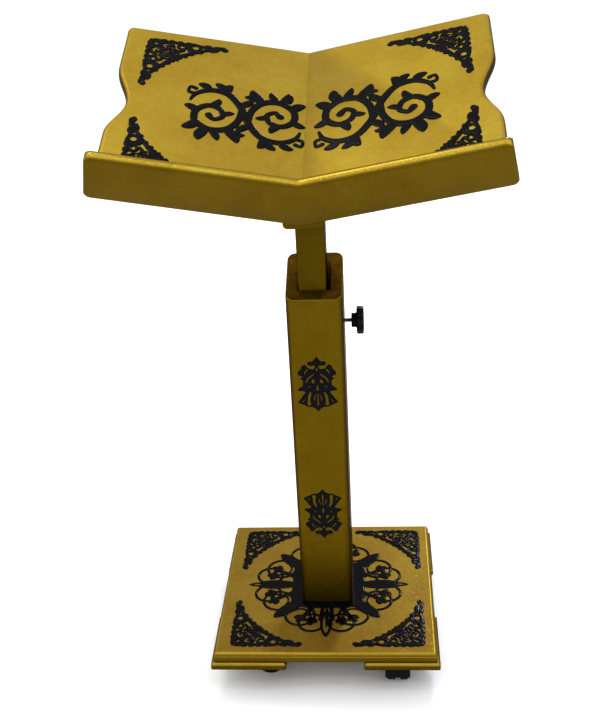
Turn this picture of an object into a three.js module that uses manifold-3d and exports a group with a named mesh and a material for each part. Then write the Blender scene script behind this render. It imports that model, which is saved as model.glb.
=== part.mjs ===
// Quran stand on casters: a square base, a box column with a sliding mast held by a
// clamp knob, and a V-shaped lectern with two ledges. Millimetres, +Z up, +X to the
// reader's right, the reader at -Y. The origin is the bottom centre of the whole stand.
import * as THREE from 'three';
import { mergeVertices } from 'three/addons/utils/BufferGeometryUtils.js';
import Module from 'manifold-3d';

const wasm = await Module();
wasm.setup();

// ---------------------------------------------------------------- driving dimensions
const GAP = 0.3;                    // clearance between pieces that lie against each other

// Base
const BASE_SIDE = 344;              // square plate, across its upright edges
const BASE_THICKNESS = 16;
const MOULDING_INSET = 5;           // how far the moulded top edge steps in
const MOULDING_DROP = 6;            // how far down the upright edge it reaches
const BLOCK_SIDE = 116;             // corner blocks under the plate
const BLOCK_THICKNESS = 12;
const BLOCK_OVERHANG = 4;           // how far a block stands out past the plate
const BLOCK_FLARE = 4;              // slope of a block's upper edge

// Casters
const WHEEL_RADIUS = 20;
const WHEEL_WIDTH = 14.5;
const CASTER_TRAIL = 21;            // swivel axis to axle
const CASTER_INSET = 65;            // swivel axis to a block's outer edges
const CASTER_PLATE_SIDE = 42;
const CASTER_PLATE_THICKNESS = 2.5;
const SWIVEL_PIN_RADIUS = 3.5;
const SWIVEL_PIN_LENGTH = 12;
const BOSS_WALL = 2.2;              // of the hood, around the swivel pin
const AXLE_RADIUS = 3;
const WEB_THICKNESS = 6.6;          // of the hood, between the two wheels
const HOOD_WALL = 3.2;
const WHEEL_CLEARANCE = 0.8;        // between a wheel's tread and the hood
const HOOD_TO_PLATE = 3.2;          // between the hood's crown and the caster plate

// Column
const COLUMN_WALL = 18;
const COLUMN_CORNER_RADIUS = 12;
const COLUMN_FRONT_HEIGHT = 531;    // base top to the low front edge of the mouth
const FOOT_BLOCK_HEIGHT = 16;
const COLUMN_SCREW_RADIUS = 2.4;
const COLUMN_SCREW_LENGTH = 52;
const COLUMN_SCREW_INSET = 13;      // from the column's left and right faces

// Mast and clamp
const MAST_WIDTH = 41;
const MAST_DEPTH = 52;
const MAST_SIDE_PLAY = 5;           // the bore is this much wider than the mast
const MAST_END_PLAY = 4;            // and this much deeper
const MAST_LENGTH = 530;
const MAST_EXTENSION = 206;         // column mouth to the spine block, straight up
const CLAMP_BELOW_MOUTH = 52;       // clamp axis under the mouth's low front edge
const STUD_RADIUS = 3;
const STUD_EXPOSED = 10.5;          // between the column and the knob
const INSERT_WALL = 1.7;
const INSERT_SETBACK = 2;           // from the bore
const KNOB_HUB_RADIUS = 10.75;
const KNOB_HUB_LENGTH = 9.2;
const KNOB_RADIUS = 21;
const KNOB_FLANGE_LENGTH = 9.2;
const KNOB_LOBES = 7;
const KNOB_LOBE_DEPTH = 3;

// Lectern
const TILT = THREE.MathUtils.degToRad(22.5);       // boards rise to the back
const VEE = THREE.MathUtils.degToRad(12);          // each board rises to its side
const FRONT_REACH = 194;            // column axis forward to the boards' front edge
const BOARD_DEPTH = 330;
const BOARD_WIDTH = 255;            // centre line to a board's outer edge
const BOARD_THICKNESS = 16;
const BOARD_CORNER_RADIUS = 9;
const NOTCH_DEPTH = 19.5;           // hollow in a board's outer edge
const NOTCH_CENTRE = 155;           // up from the front edge
const NOTCH_REACH_BACK = 80;
const NOTCH_REACH_FRONT = 68;
const LEDGE_OVERHANG = 7;           // past a board's outer edge
const LEDGE_THICKNESS = 18;
const LEDGE_RISE = 41;              // above the board
const LEDGE_DROP = 21.5;            // below the board's upper face
const LEDGE_CORNER_RADIUS = 9;
const SPINE_WIDTH = 52;
const SPINE_DROP = 42;              // board surface at the valley down to its underside
const SPINE_FRONT_SETBACK = 2;      // from the boards' front edge
const SPINE_REAR_SETBACK = 38;      // from their rear edge
const MAST_SCREW_RADIUS = 3;
const MAST_SCREW_LENGTH = 50;
const MAST_SCREW_SPACING = 28;
const MAST_SCREW_SETBACK = 6;       // towards the reader, as the screws lean back

// Raised ornaments
const RELIEF = 1.2;                 // thickness of every ornament
const CORNER_ORNAMENT_LEG = 113;
const BASE_ORNAMENT_INSET = 16;     // from the plate's upright edges
const BOARD_ORNAMENT_SIDE_INSET = 28;
const BOARD_ORNAMENT_BACK_INSET = 21;
const BOARD_ORNAMENT_FRONT_INSET = 10;
const MEDALLION_MARGIN = 40;        // from the plate's edge to a tip along X or Y
const MEDALLION_DIAGONAL_INSET = 14;
const MEDALLION_WAIST_INSET = 36;
const COLUMN_ORNAMENT_MARGIN = 12.5; // to the column's left and right faces
const COLUMN_ORNAMENT_HEIGHT = 88;
const UPPER_ORNAMENT_BELOW_MOUTH = 134;
const LOWER_ORNAMENT_ABOVE_BASE = 170;
const SCROLL_INNER_MARGIN = { left: 2, right: 18 };      // to the centre line
const SCROLL_OUTER_MARGIN = { left: 97, right: 81 };     // to a board's outer edge
const SCROLL_FRONT_MARGIN = 92;
const SCROLL_BACK_MARGIN = 106;

// ---------------------------------------------------------------- derived places
const HOOD_CROWN = 2 * WHEEL_RADIUS + WHEEL_CLEARANCE + HOOD_WALL;
const CASTER_HEIGHT = HOOD_CROWN + HOOD_TO_PLATE + CASTER_PLATE_THICKNESS + GAP;
const BASE_BOTTOM = CASTER_HEIGHT + BLOCK_THICKNESS;
const BASE_TOP = BASE_BOTTOM + BASE_THICKNESS;
const BLOCK_CENTRE = BASE_SIDE / 2 + BLOCK_OVERHANG - BLOCK_SIDE / 2;
const CASTER_CENTRE = BASE_SIDE / 2 + BLOCK_OVERHANG - CASTER_INSET;
const BORE_WIDTH = MAST_WIDTH + MAST_SIDE_PLAY;
const BORE_DEPTH = MAST_DEPTH + MAST_END_PLAY;
const COLUMN_WIDTH = BORE_WIDTH + 2 * COLUMN_WALL;
const COLUMN_DEPTH = BORE_DEPTH + 2 * COLUMN_WALL;
const MOUTH_Z = BASE_TOP + COLUMN_FRONT_HEIGHT + (COLUMN_DEPTH / 2) * Math.tan(TILT);
const COLUMN_TALLEST = COLUMN_FRONT_HEIGHT + COLUMN_DEPTH * Math.tan(TILT);
// The clamp pushes the mast against the left wall of the bore, and it leans forward.
const MAST_X = (MAST_WIDTH - BORE_WIDTH) / 2 + GAP;
const MAST_Y = (MAST_DEPTH - BORE_DEPTH) / 2 + GAP;
const MAST_RIGHT = MAST_X + MAST_WIDTH / 2;
const INSERT_RADIUS = STUD_RADIUS + GAP + INSERT_WALL;
const CLAMP_Z = BASE_TOP + COLUMN_FRONT_HEIGHT - CLAMP_BELOW_MOUTH;
const SPINE_UNDERSIDE_Z = MOUTH_Z + MAST_EXTENSION;
const VALLEY_FRONT_Z = SPINE_UNDERSIDE_Z + SPINE_DROP / Math.cos(TILT) - FRONT_REACH * Math.tan(TILT);
const MAST_TOP_Z = SPINE_UNDERSIDE_Z + MAST_Y * Math.tan(TILT) - GAP / Math.cos(TILT);

// ---------------------------------------------------------------- finishes
const goldPaint = new THREE.MeshStandardMaterial({ color: '#a8893a', roughness: 0.45, metalness: 0.7 });
const darkGoldPaint = new THREE.MeshStandardMaterial({ color: '#6d5619', roughness: 0.45, metalness: 0.7 });
const blackRelief = new THREE.MeshStandardMaterial({ color: '#17181c', roughness: 0.35, metalness: 0.0 });
const bareWood = new THREE.MeshStandardMaterial({ color: '#b08a5a', roughness: 0.7, metalness: 0.0 });
const blackPlastic = new THREE.MeshStandardMaterial({ color: '#1c1c1e', roughness: 0.5, metalness: 0.0 });
const zincSteel = new THREE.MeshStandardMaterial({ color: '#b9bcc0', roughness: 0.35, metalness: 1.0 });
const brass = new THREE.MeshStandardMaterial({ color: '#b8963e', roughness: 0.4, metalness: 1.0 });

// ---------------------------------------------------------------- solid helpers
function toSolid(geometry) {
  const bare = geometry.clone();
  bare.deleteAttribute('normal');
  bare.deleteAttribute('uv');
  const merged = mergeVertices(bare, 1e-4);
  const vertProperties = new Float32Array(merged.attributes.position.array);
  const triVerts = new Uint32Array(merged.index.array);
  return new wasm.Manifold(new wasm.Mesh({ numProp: 3, vertProperties, triVerts }));
}

function toGeometry(solid) {
  const mesh = solid.getMesh();
  const geometry = new THREE.BufferGeometry();
  geometry.setAttribute('position', new THREE.BufferAttribute(new Float32Array(mesh.vertProperties), 3));
  geometry.setIndex(new THREE.BufferAttribute(new Uint32Array(mesh.triVerts), 1));
  geometry.computeVertexNormals();
  return geometry;
}

function join(first, ...others) {
  return toGeometry(others.reduce((solid, other) => solid.add(toSolid(other)), toSolid(first)));
}

function cut(first, ...tools) {
  return toGeometry(tools.reduce((solid, tool) => solid.subtract(toSolid(tool)), toSolid(first)));
}

function common(first, second) {
  return toGeometry(toSolid(first).intersect(toSolid(second)));
}

function box(width, depth, height, x = 0, y = 0, z = 0) {
  return new THREE.BoxGeometry(width, depth, height).translate(x, y, z);
}

// A cylinder along X, Y or Z, from `start` to `end` on that axis.
function rod(axis, radius, start, end, segments = 24) {
  const geometry = new THREE.CylinderGeometry(radius, radius, end - start, segments);
  geometry.translate(0, (start + end) / 2, 0);
  if (axis === 'x') geometry.rotateZ(-Math.PI / 2);
  if (axis === 'z') geometry.rotateX(Math.PI / 2);
  return geometry;
}

// A profile of [radius, height] points turned about +Z.
function turned(profile, segments = 24) {
  const points = profile.map(([radius, height]) => new THREE.Vector2(radius, height));
  return new THREE.LatheGeometry(points, segments).rotateX(Math.PI / 2);
}

// A profile of [half side, height] points carried round a square.
function squareTurned(profile) {
  const corners = profile.map(([half, height]) => [half * Math.SQRT2, height]);
  return turned(corners, 4).rotateZ(Math.PI / 4);
}

// An outline in XY given a thickness in +Z.
function slab(shape, thickness, curveSegments = 8) {
  return new THREE.ExtrudeGeometry(shape, { depth: thickness, bevelEnabled: false, curveSegments });
}

function shapeThrough(points) {
  return new THREE.Shape(points.map(([x, y]) => new THREE.Vector2(x, y)));
}

function piece(parent, name, geometry, material, x = 0, y = 0, z = 0) {
  const mesh = new THREE.Mesh(geometry, material);
  mesh.name = name;
  mesh.position.set(x, y, z);
  parent.add(mesh);
  return mesh;
}

function group(parent, x = 0, y = 0, z = 0) {
  const holder = new THREE.Group();
  holder.position.set(x, y, z);
  parent.add(holder);
  return holder;
}

// A countersunk wood screw: its head's flat top at z = 0, its point straight down.
function screwProfile(radius, length) {
  const head = 2 * radius;
  return [[0, -length], [radius, -length + 2 * radius], [radius, -head], [head, -head / 2], [head, 0], [0, 0]];
}

function screwHoleProfile(radius, length) {
  const wide = radius + GAP;
  const head = 2 * radius + GAP;
  return [[0, -length - GAP], [wide, -length - GAP], [wide, -head - GAP], [head, -head / 2 - GAP], [head, 1], [0, 1]];
}

// ---------------------------------------------------------------- base
const columnScrews = [];
for (const y of [-1, 1]) {
  for (const x of [-1, 1]) {
    columnScrews.push({
      name: `column_screw_${y < 0 ? 'front' : 'rear'}_${x < 0 ? 'left' : 'right'}`,
      x: x * (COLUMN_WIDTH / 2 - COLUMN_SCREW_INSET),
      y: y * (COLUMN_DEPTH - COLUMN_WALL) / 2,
    });
  }
}

// The screws stand head down in the plate's underside.
function upwardScrew(profile, screw) {
  return turned(profile, 12).rotateX(Math.PI).translate(screw.x, screw.y, BASE_BOTTOM + GAP);
}

function columnScrewHoles() {
  const profile = screwHoleProfile(COLUMN_SCREW_RADIUS, COLUMN_SCREW_LENGTH);
  return columnScrews.map((screw) => upwardScrew(profile, screw));
}

function basePlate() {
  const half = BASE_SIDE / 2;
  const inset = MOULDING_INSET;
  const drop = MOULDING_DROP;
  const profile = [
    [0, BASE_BOTTOM],
    [half - 1, BASE_BOTTOM],
    [half, BASE_BOTTOM + 1],
    [half, BASE_TOP - drop],
    [half - inset * 0.13, BASE_TOP - drop * 0.5],
    [half - inset * 0.5, BASE_TOP - drop * 0.13],
    [half - inset, BASE_TOP],
    [0, BASE_TOP],
  ];
  return cut(squareTurned(profile), ...columnScrewHoles());
}

function cornerBlock() {
  const half = BLOCK_SIDE / 2;
  return squareTurned([
    [0, 0],
    [half, 0],
    [half, BLOCK_THICKNESS - BLOCK_FLARE - GAP],
    [half - BLOCK_FLARE, BLOCK_THICKNESS - GAP],
    [0, BLOCK_THICKNESS - GAP],
  ]);
}

// ---------------------------------------------------------------- casters
// Caster pieces are drawn about the swivel axis, with the axle out along +X.
const AXLE_HALF = WEB_THICKNESS / 2 + WHEEL_WIDTH - 2;
const WHEEL_INNER = WEB_THICKNESS / 2 + 2 * GAP;
const HOOD_HALF = WHEEL_INNER + WHEEL_WIDTH + WHEEL_CLEARANCE;
const HOOD_INNER_RADIUS = WHEEL_RADIUS + WHEEL_CLEARANCE;
const HOOD_RADIUS = HOOD_INNER_RADIUS + HOOD_WALL;
const CASTER_PLATE_BOTTOM = CASTER_HEIGHT - GAP - CASTER_PLATE_THICKNESS;
const PIN_BOTTOM = CASTER_PLATE_BOTTOM - SWIVEL_PIN_LENGTH;
const BOSS_RADIUS = SWIVEL_PIN_RADIUS + GAP + BOSS_WALL;

function casterPlate() {
  const plate = box(CASTER_PLATE_SIDE, CASTER_PLATE_SIDE, CASTER_PLATE_THICKNESS);
  plate.translate(0, 0, CASTER_PLATE_BOTTOM + CASTER_PLATE_THICKNESS / 2);
  return join(plate, rod('z', SWIVEL_PIN_RADIUS, PIN_BOTTOM, CASTER_PLATE_BOTTOM + 1, 16));
}

function casterHood() {
  const atAxle = (geometry) => geometry.translate(CASTER_TRAIL, 0, WHEEL_RADIUS);
  const drum = atAxle(rod('y', HOOD_RADIUS, -HOOD_HALF, HOOD_HALF, 36));
  const lowerHalf = atAxle(box(4 * HOOD_RADIUS, 4 * HOOD_HALF, 2 * HOOD_RADIUS, 0, 0, -HOOD_RADIUS));
  const hub = atAxle(rod('y', 3 * AXLE_RADIUS, -WEB_THICKNESS / 2, WEB_THICKNESS / 2));
  const boss = rod('z', BOSS_RADIUS, PIN_BOTTOM - BOSS_WALL, CASTER_PLATE_BOTTOM - GAP, 20);
  const bays = [-1, 1].map((side) => {
    const near = WEB_THICKNESS / 2;
    const far = HOOD_HALF + 1;
    const [start, end] = side < 0 ? [-far, -near] : [near, far];
    return atAxle(rod('y', HOOD_INNER_RADIUS, start, end, 36));
  });
  const axleHole = atAxle(rod('y', AXLE_RADIUS + GAP, -HOOD_HALF, HOOD_HALF, 16));
  const pinHole = rod('z', SWIVEL_PIN_RADIUS + GAP, PIN_BOTTOM - GAP, CASTER_HEIGHT, 16);
  const upperHalf = cut(drum, lowerHalf);
  return cut(join(upperHalf, hub, boss), ...bays, axleHole, pinHole);
}

// A wheel lies with its inner face at z = 0 and its closed outer face up.
function casterWheel() {
  const crown = 1.5;
  const boreDepth = AXLE_HALF + GAP - WHEEL_INNER;
  return turned([
    [0, boreDepth],
    [AXLE_RADIUS + GAP, boreDepth],
    [AXLE_RADIUS + GAP, 0],
    [WHEEL_RADIUS - crown, 0],
    [WHEEL_RADIUS, crown],
    [WHEEL_RADIUS, WHEEL_WIDTH - 3 * crown],
    [WHEEL_RADIUS - 2 * crown, WHEEL_WIDTH - crown],
    [WHEEL_RADIUS * 0.45, WHEEL_WIDTH],
    [0, WHEEL_WIDTH],
  ], 28);
}

function addCaster(parent, corner, x, y, heading) {
  const caster = group(parent, x, y);
  caster.rotation.z = heading;
  piece(caster, `${corner}_caster_plate`, casterPlate(), zincSteel);
  piece(caster, `${corner}_caster_hood`, casterHood(), blackPlastic);
  const axle = rod('y', AXLE_RADIUS, -AXLE_HALF, AXLE_HALF, 16);
  piece(caster, `${corner}_caster_axle`, axle, zincSteel, CASTER_TRAIL, 0, WHEEL_RADIUS);
  for (const [suffix, side] of [['a', -1], ['b', 1]]) {
    const name = `${corner}_caster_wheel_${suffix}`;
    const wheel = piece(caster, name, casterWheel(), blackPlastic, CASTER_TRAIL, side * WHEEL_INNER, WHEEL_RADIUS);
    wheel.rotation.x = -side * Math.PI / 2;
  }
}

function addBase(parent) {
  piece(parent, 'base_plate', basePlate(), goldPaint);
  const corners = [
    ['front_left', -1, -1, 0],
    ['front_right', 1, -1, -Math.PI / 2],
    ['rear_left', -1, 1, Math.PI / 2],
    ['rear_right', 1, 1, Math.PI],
  ];
  for (const [corner, x, y, heading] of corners) {
    const block = [x * BLOCK_CENTRE, y * BLOCK_CENTRE, CASTER_HEIGHT];
    piece(parent, `${corner}_corner_block`, cornerBlock(), darkGoldPaint, ...block);
    addCaster(parent, corner, x * CASTER_CENTRE, y * CASTER_CENTRE, heading);
  }
}

// ---------------------------------------------------------------- column
// Everything above the mouth's slanted plane, as a cutting tool.
function aboveMouth(drop = 0) {
  const reach = 4 * COLUMN_DEPTH;
  const tool = box(reach, reach, reach, 0, 0, reach / 2);
  return tool.rotateX(TILT).translate(0, 0, MOUTH_Z - drop);
}

// The front panel's outline seen from above; the rear panel is the same, turned round.
function endPanelShape() {
  const half = COLUMN_WIDTH / 2;
  const front = -COLUMN_DEPTH / 2;
  const radius = COLUMN_CORNER_RADIUS;
  const shape = new THREE.Shape();
  shape.moveTo(-half, front + COLUMN_WALL);
  shape.lineTo(-half, front + radius);
  shape.absarc(-half + radius, front + radius, radius, Math.PI, 1.5 * Math.PI, false);
  shape.lineTo(half - radius, front);
  shape.absarc(half - radius, front + radius, radius, 1.5 * Math.PI, 2 * Math.PI, false);
  shape.lineTo(half, front + COLUMN_WALL);
  return shape;
}

function columnPanel(outline) {
  const panel = outline.translate(0, 0, BASE_TOP + GAP);
  return cut(panel, aboveMouth(), ...columnScrewHoles());
}

function sidePanel(side) {
  const depth = BORE_DEPTH - 2 * GAP;
  const x = side * (COLUMN_WIDTH - COLUMN_WALL) / 2;
  return columnPanel(box(COLUMN_WALL, depth, COLUMN_TALLEST, x, 0, COLUMN_TALLEST / 2));
}

function addColumn(parent) {
  const front = columnPanel(slab(endPanelShape(), COLUMN_TALLEST, 6));
  const rear = columnPanel(slab(endPanelShape(), COLUMN_TALLEST, 6).rotateZ(Math.PI));
  const insertHole = rod('x', INSERT_RADIUS + GAP, 0, COLUMN_WIDTH, 20).translate(0, 0, CLAMP_Z);
  piece(parent, 'column_front_panel', front, darkGoldPaint);
  piece(parent, 'column_rear_panel', rear, darkGoldPaint);
  piece(parent, 'column_left_panel', sidePanel(-1), darkGoldPaint);
  piece(parent, 'column_right_panel', cut(sidePanel(1), insertHole), darkGoldPaint);
  const footBlock = box(BORE_WIDTH - 2 * GAP, BORE_DEPTH - 2 * GAP, FOOT_BLOCK_HEIGHT);
  piece(parent, 'column_foot_block', footBlock, bareWood, 0, 0, BASE_TOP + GAP + FOOT_BLOCK_HEIGHT / 2);
  for (const screw of columnScrews) {
    const profile = screwProfile(COLUMN_SCREW_RADIUS, COLUMN_SCREW_LENGTH);
    piece(parent, screw.name, upwardScrew(profile, screw), zincSteel);
  }
}

// ---------------------------------------------------------------- clamp
const COLUMN_RIGHT = COLUMN_WIDTH / 2;
const INSERT_START = BORE_WIDTH / 2 + INSERT_SETBACK;
const KNOB_START = COLUMN_RIGHT + STUD_EXPOSED;
const KNOB_END = KNOB_START + KNOB_HUB_LENGTH + KNOB_FLANGE_LENGTH;
const STUD_END = KNOB_END - KNOB_FLANGE_LENGTH / 2;

function lobedShape() {
  const shape = new THREE.Shape();
  const steps = KNOB_LOBES * 6;
  for (let step = 0; step < steps; step += 1) {
    const angle = (step / steps) * 2 * Math.PI;
    const radius = KNOB_RADIUS - KNOB_LOBE_DEPTH * (0.5 - 0.5 * Math.cos(KNOB_LOBES * angle));
    const point = [radius * Math.cos(angle), radius * Math.sin(angle)];
    if (step === 0) shape.moveTo(...point);
    else shape.lineTo(...point);
  }
  return shape;
}

function clampKnob() {
  const flange = slab(lobedShape(), KNOB_FLANGE_LENGTH).rotateY(Math.PI / 2);
  flange.translate(KNOB_START + KNOB_HUB_LENGTH, 0, 0);
  const hub = rod('x', KNOB_HUB_RADIUS, KNOB_START, KNOB_END - 1, 28);
  const studHole = rod('x', STUD_RADIUS + GAP, KNOB_START - 1, STUD_END + GAP, 16);
  return cut(join(flange, hub), studHole);
}

function addClamp(parent) {
  const insert = cut(
    rod('x', INSERT_RADIUS, INSERT_START, COLUMN_RIGHT, 20),
    rod('x', STUD_RADIUS + GAP, INSERT_START - 1, COLUMN_RIGHT + 1, 16),
  );
  const stud = rod('x', STUD_RADIUS, MAST_RIGHT + GAP, STUD_END, 16);
  piece(parent, 'clamp_insert', insert, brass, 0, 0, CLAMP_Z);
  piece(parent, 'clamp_stud', stud, zincSteel, 0, 0, CLAMP_Z);
  piece(parent, 'clamp_knob', clampKnob(), blackPlastic, 0, 0, CLAMP_Z);
}

// ---------------------------------------------------------------- lectern
// The lectern's group has x across, y up the slope and z out of the boards' valley.
// A wing is drawn for the right side, flat, then folded up by VEE; the left one mirrors it.
function foldedWing(geometry, side) {
  const wing = geometry.rotateY(-VEE);
  const reach = 4 * BOARD_DEPTH;
  const otherSide = box(reach, reach, reach, GAP / 2 - reach / 2, 0, 0);
  const half = cut(wing, otherSide);
  return side > 0 ? half : mirroredAcross(half);
}

function mirroredAcross(geometry) {
  return toGeometry(toSolid(geometry).mirror([1, 0, 0]));
}

// Outer edge of a board: straight, with one smooth hollow.
function boardEdge(up) {
  const reach = up > NOTCH_CENTRE ? NOTCH_REACH_BACK : NOTCH_REACH_FRONT;
  const along = Math.min(Math.abs(up - NOTCH_CENTRE) / reach, 1);
  return BOARD_WIDTH - NOTCH_DEPTH * (0.5 + 0.5 * Math.cos(Math.PI * along));
}

function boardShape() {
  const inner = -BOARD_THICKNESS;
  const radius = BOARD_CORNER_RADIUS;
  const steps = 16;
  const start = NOTCH_CENTRE - NOTCH_REACH_FRONT;
  const span = NOTCH_REACH_BACK + NOTCH_REACH_FRONT;
  const shape = new THREE.Shape();
  shape.moveTo(inner, 0);
  shape.lineTo(BOARD_WIDTH, 0);
  for (let step = 0; step <= steps; step += 1) {
    const up = start + (span * step) / steps;
    shape.lineTo(boardEdge(up), up);
  }
  shape.absarc(BOARD_WIDTH - radius, BOARD_DEPTH - radius, radius, 0, Math.PI / 2, false);
  shape.lineTo(inner, BOARD_DEPTH);
  return shape;
}

function board(side) {
  return foldedWing(slab(boardShape(), BOARD_THICKNESS, 4).translate(0, 0, -BOARD_THICKNESS), side);
}

// A ledge is its front view crossed with its round-topped section.
const LEDGE_LENGTH = BOARD_WIDTH + LEDGE_OVERHANG;

function ledge(side) {
  const round = LEDGE_THICKNESS / 2;
  const radius = LEDGE_CORNER_RADIUS;
  const front = new THREE.Shape();
  front.moveTo(-2 * LEDGE_THICKNESS, -LEDGE_DROP);
  front.lineTo(LEDGE_LENGTH - radius, -LEDGE_DROP);
  front.absarc(LEDGE_LENGTH - radius, -LEDGE_DROP + radius, radius, -Math.PI / 2, 0, false);
  front.lineTo(LEDGE_LENGTH, LEDGE_RISE);
  front.lineTo(-2 * LEDGE_THICKNESS, LEDGE_RISE);
  const section = new THREE.Shape();
  section.moveTo(-round, -2 * LEDGE_DROP);
  section.lineTo(round, -2 * LEDGE_DROP);
  section.lineTo(round, LEDGE_RISE - round);
  section.absarc(0, LEDGE_RISE - round, round, 0, Math.PI, false);
  const frontSolid = slab(front, LEDGE_THICKNESS, 5).rotateX(Math.PI / 2).translate(0, -GAP, 0);
  const bar = slab(section, 3 * LEDGE_LENGTH, 6).rotateX(Math.PI / 2).rotateZ(Math.PI / 2);
  bar.translate(-LEDGE_LENGTH, -GAP - round, 0);
  return foldedWing(common(frontSolid, bar), side);
}

// Screws down through the spine block into the mast, square to the slope.
function mastScrewPlaces() {
  const mastCentre = (FRONT_REACH + MAST_Y) / Math.cos(TILT) - SPINE_DROP * Math.tan(TILT);
  const along = mastCentre - MAST_SCREW_SETBACK;
  return [['front', -1], ['rear', 1]].map(([end, side]) => ({
    name: `mast_screw_${end}`,
    y: along + (side * MAST_SCREW_SPACING) / 2,
  }));
}

const SPINE_VALLEY_Z = -BOARD_THICKNESS / Math.cos(VEE) - GAP / Math.cos(VEE);
const MAST_SCREW_TOP = SPINE_VALLEY_Z - 1;

function mastScrew(profile, place) {
  return turned(profile, 12).translate(MAST_X, place.y, MAST_SCREW_TOP);
}

function mastScrewHoles() {
  const profile = screwHoleProfile(MAST_SCREW_RADIUS, MAST_SCREW_LENGTH);
  profile[4][1] = SPINE_DROP;
  profile[5][1] = SPINE_DROP;
  return mastScrewPlaces().map((place) => mastScrew(profile, place));
}

function spineBlock() {
  const half = SPINE_WIDTH / 2;
  const ease = 3;
  const shape = shapeThrough([
    [-half, -SPINE_DROP + ease],
    [-half + ease, -SPINE_DROP],
    [half - ease, -SPINE_DROP],
    [half, -SPINE_DROP + ease],
    [half, SPINE_VALLEY_Z + half * Math.tan(VEE)],
    [0, SPINE_VALLEY_Z],
    [-half, SPINE_VALLEY_Z + half * Math.tan(VEE)],
  ]);
  const length = BOARD_DEPTH - SPINE_FRONT_SETBACK - SPINE_REAR_SETBACK;
  const block = slab(shape, length).rotateX(Math.PI / 2);
  block.translate(0, BOARD_DEPTH - SPINE_REAR_SETBACK, 0);
  return cut(block, ...mastScrewHoles());
}

// Moves a geometry drawn in the lectern's own axes into the stand's.
function toStand(geometry) {
  return geometry.rotateX(TILT).translate(0, -FRONT_REACH, VALLEY_FRONT_Z);
}

function mast() {
  const rise = MAST_DEPTH * Math.tan(TILT);
  const bar = box(MAST_WIDTH, MAST_DEPTH, MAST_LENGTH + rise, MAST_X, MAST_Y, (rise - MAST_LENGTH) / 2);
  bar.translate(0, 0, MAST_TOP_Z);
  const reach = 4 * MAST_DEPTH;
  const above = box(reach, reach, reach, 0, 0, reach / 2).rotateX(TILT).translate(0, MAST_Y, MAST_TOP_Z);
  return cut(bar, above, ...mastScrewHoles().map(toStand));
}

function addLectern(parent) {
  piece(parent, 'mast', mast(), goldPaint);
  const lectern = group(parent, 0, -FRONT_REACH, VALLEY_FRONT_Z);
  lectern.rotation.x = TILT;
  piece(lectern, 'spine_block', spineBlock(), darkGoldPaint);
  for (const place of mastScrewPlaces()) {
    const profile = screwProfile(MAST_SCREW_RADIUS, MAST_SCREW_LENGTH);
    piece(lectern, place.name, mastScrew(profile, place), zincSteel);
  }
  for (const [name, side] of [['left', -1], ['right', 1]]) {
    piece(lectern, `${name}_board`, board(side), goldPaint);
    piece(lectern, `${name}_ledge`, ledge(side), darkGoldPaint);
    addBoardOrnaments(lectern, name, side);
  }
}

// ---------------------------------------------------------------- ornaments
// A corner piece: square corner at the origin, legs along -X and -Y, hollow long side.
function cornerOrnament() {
  const leg = CORNER_ORNAMENT_LEG;
  const shape = new THREE.Shape();
  shape.moveTo(0, 0);
  shape.lineTo(-leg, 0);
  shape.quadraticCurveTo(-leg * 0.32, -leg * 0.32, 0, -leg);
  return slab(shape, RELIEF, 8);
}

// The same piece for a corner that points to (x, y) = (+-1, +-1).
function cornerOrnamentTowards(x, y) {
  const quarter = { '1,1': 0, '-1,1': 1, '-1,-1': 2, '1,-1': 3 }[`${x},${y}`];
  return cornerOrnament().rotateZ(quarter * Math.PI / 2);
}

function medallion() {
  const shape = new THREE.Shape();
  const points = 16;
  const axisTip = BASE_SIDE / 2 - MEDALLION_MARGIN;
  for (let index = 0; index < points; index += 1) {
    const angle = (index / points) * 2 * Math.PI;
    const tip = index % 4 === 0 ? axisTip : axisTip - MEDALLION_DIAGONAL_INSET;
    const radius = index % 2 === 0 ? tip : axisTip - MEDALLION_WAIST_INSET;
    const point = [radius * Math.cos(angle), radius * Math.sin(angle)];
    if (index === 0) shape.moveTo(...point);
    else shape.lineTo(...point);
  }
  const foot = box(COLUMN_WIDTH + 2 * GAP, COLUMN_DEPTH + 2 * GAP, 4 * RELIEF);
  return cut(slab(shape, RELIEF), foot);
}

// An upright palmette: pointed tip, side leaves and a bell foot.
function columnOrnament() {
  const half = COLUMN_WIDTH / 2 - COLUMN_ORNAMENT_MARGIN;
  const top = COLUMN_ORNAMENT_HEIGHT / 2;
  const right = [
    [half * 0.25, top * 0.72],
    [half * 0.92, top * 0.46],
    [half * 0.55, top * 0.1],
    [half * 0.6, -top * 0.25],
    [half, -top * 0.62],
    [half * 0.45, -top * 0.75],
  ];
  const left = right.map(([x, y]) => [-x, y]).reverse();
  return slab(shapeThrough([[0, top], ...left.reverse(), [0, -top], ...right.reverse()]), RELIEF);
}

function addBaseOrnaments(parent) {
  const z = BASE_TOP + GAP;
  const corner = BASE_SIDE / 2 - BASE_ORNAMENT_INSET;
  piece(parent, 'medallion', medallion(), blackRelief, 0, 0, z);
  for (const [end, y] of [['front', -1], ['rear', 1]]) {
    for (const [name, x] of [['left', -1], ['right', 1]]) {
      const geometry = cornerOrnamentTowards(x, y);
      piece(parent, `base_ornament_${end}_${name}`, geometry, blackRelief, x * corner, y * corner, z);
    }
  }
}

function addColumnOrnaments(parent) {
  const y = -COLUMN_DEPTH / 2 - GAP;
  const upper = piece(parent, 'column_ornament_upper', columnOrnament(), blackRelief);
  upper.position.set(0, y, BASE_TOP + COLUMN_FRONT_HEIGHT - UPPER_ORNAMENT_BELOW_MOUTH);
  upper.rotation.x = Math.PI / 2;
  const lower = piece(parent, 'column_ornament_lower', columnOrnament().rotateZ(Math.PI), blackRelief);
  lower.position.set(0, y, BASE_TOP + LOWER_ORNAMENT_ABOVE_BASE);
  lower.rotation.x = Math.PI / 2;
}

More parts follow.
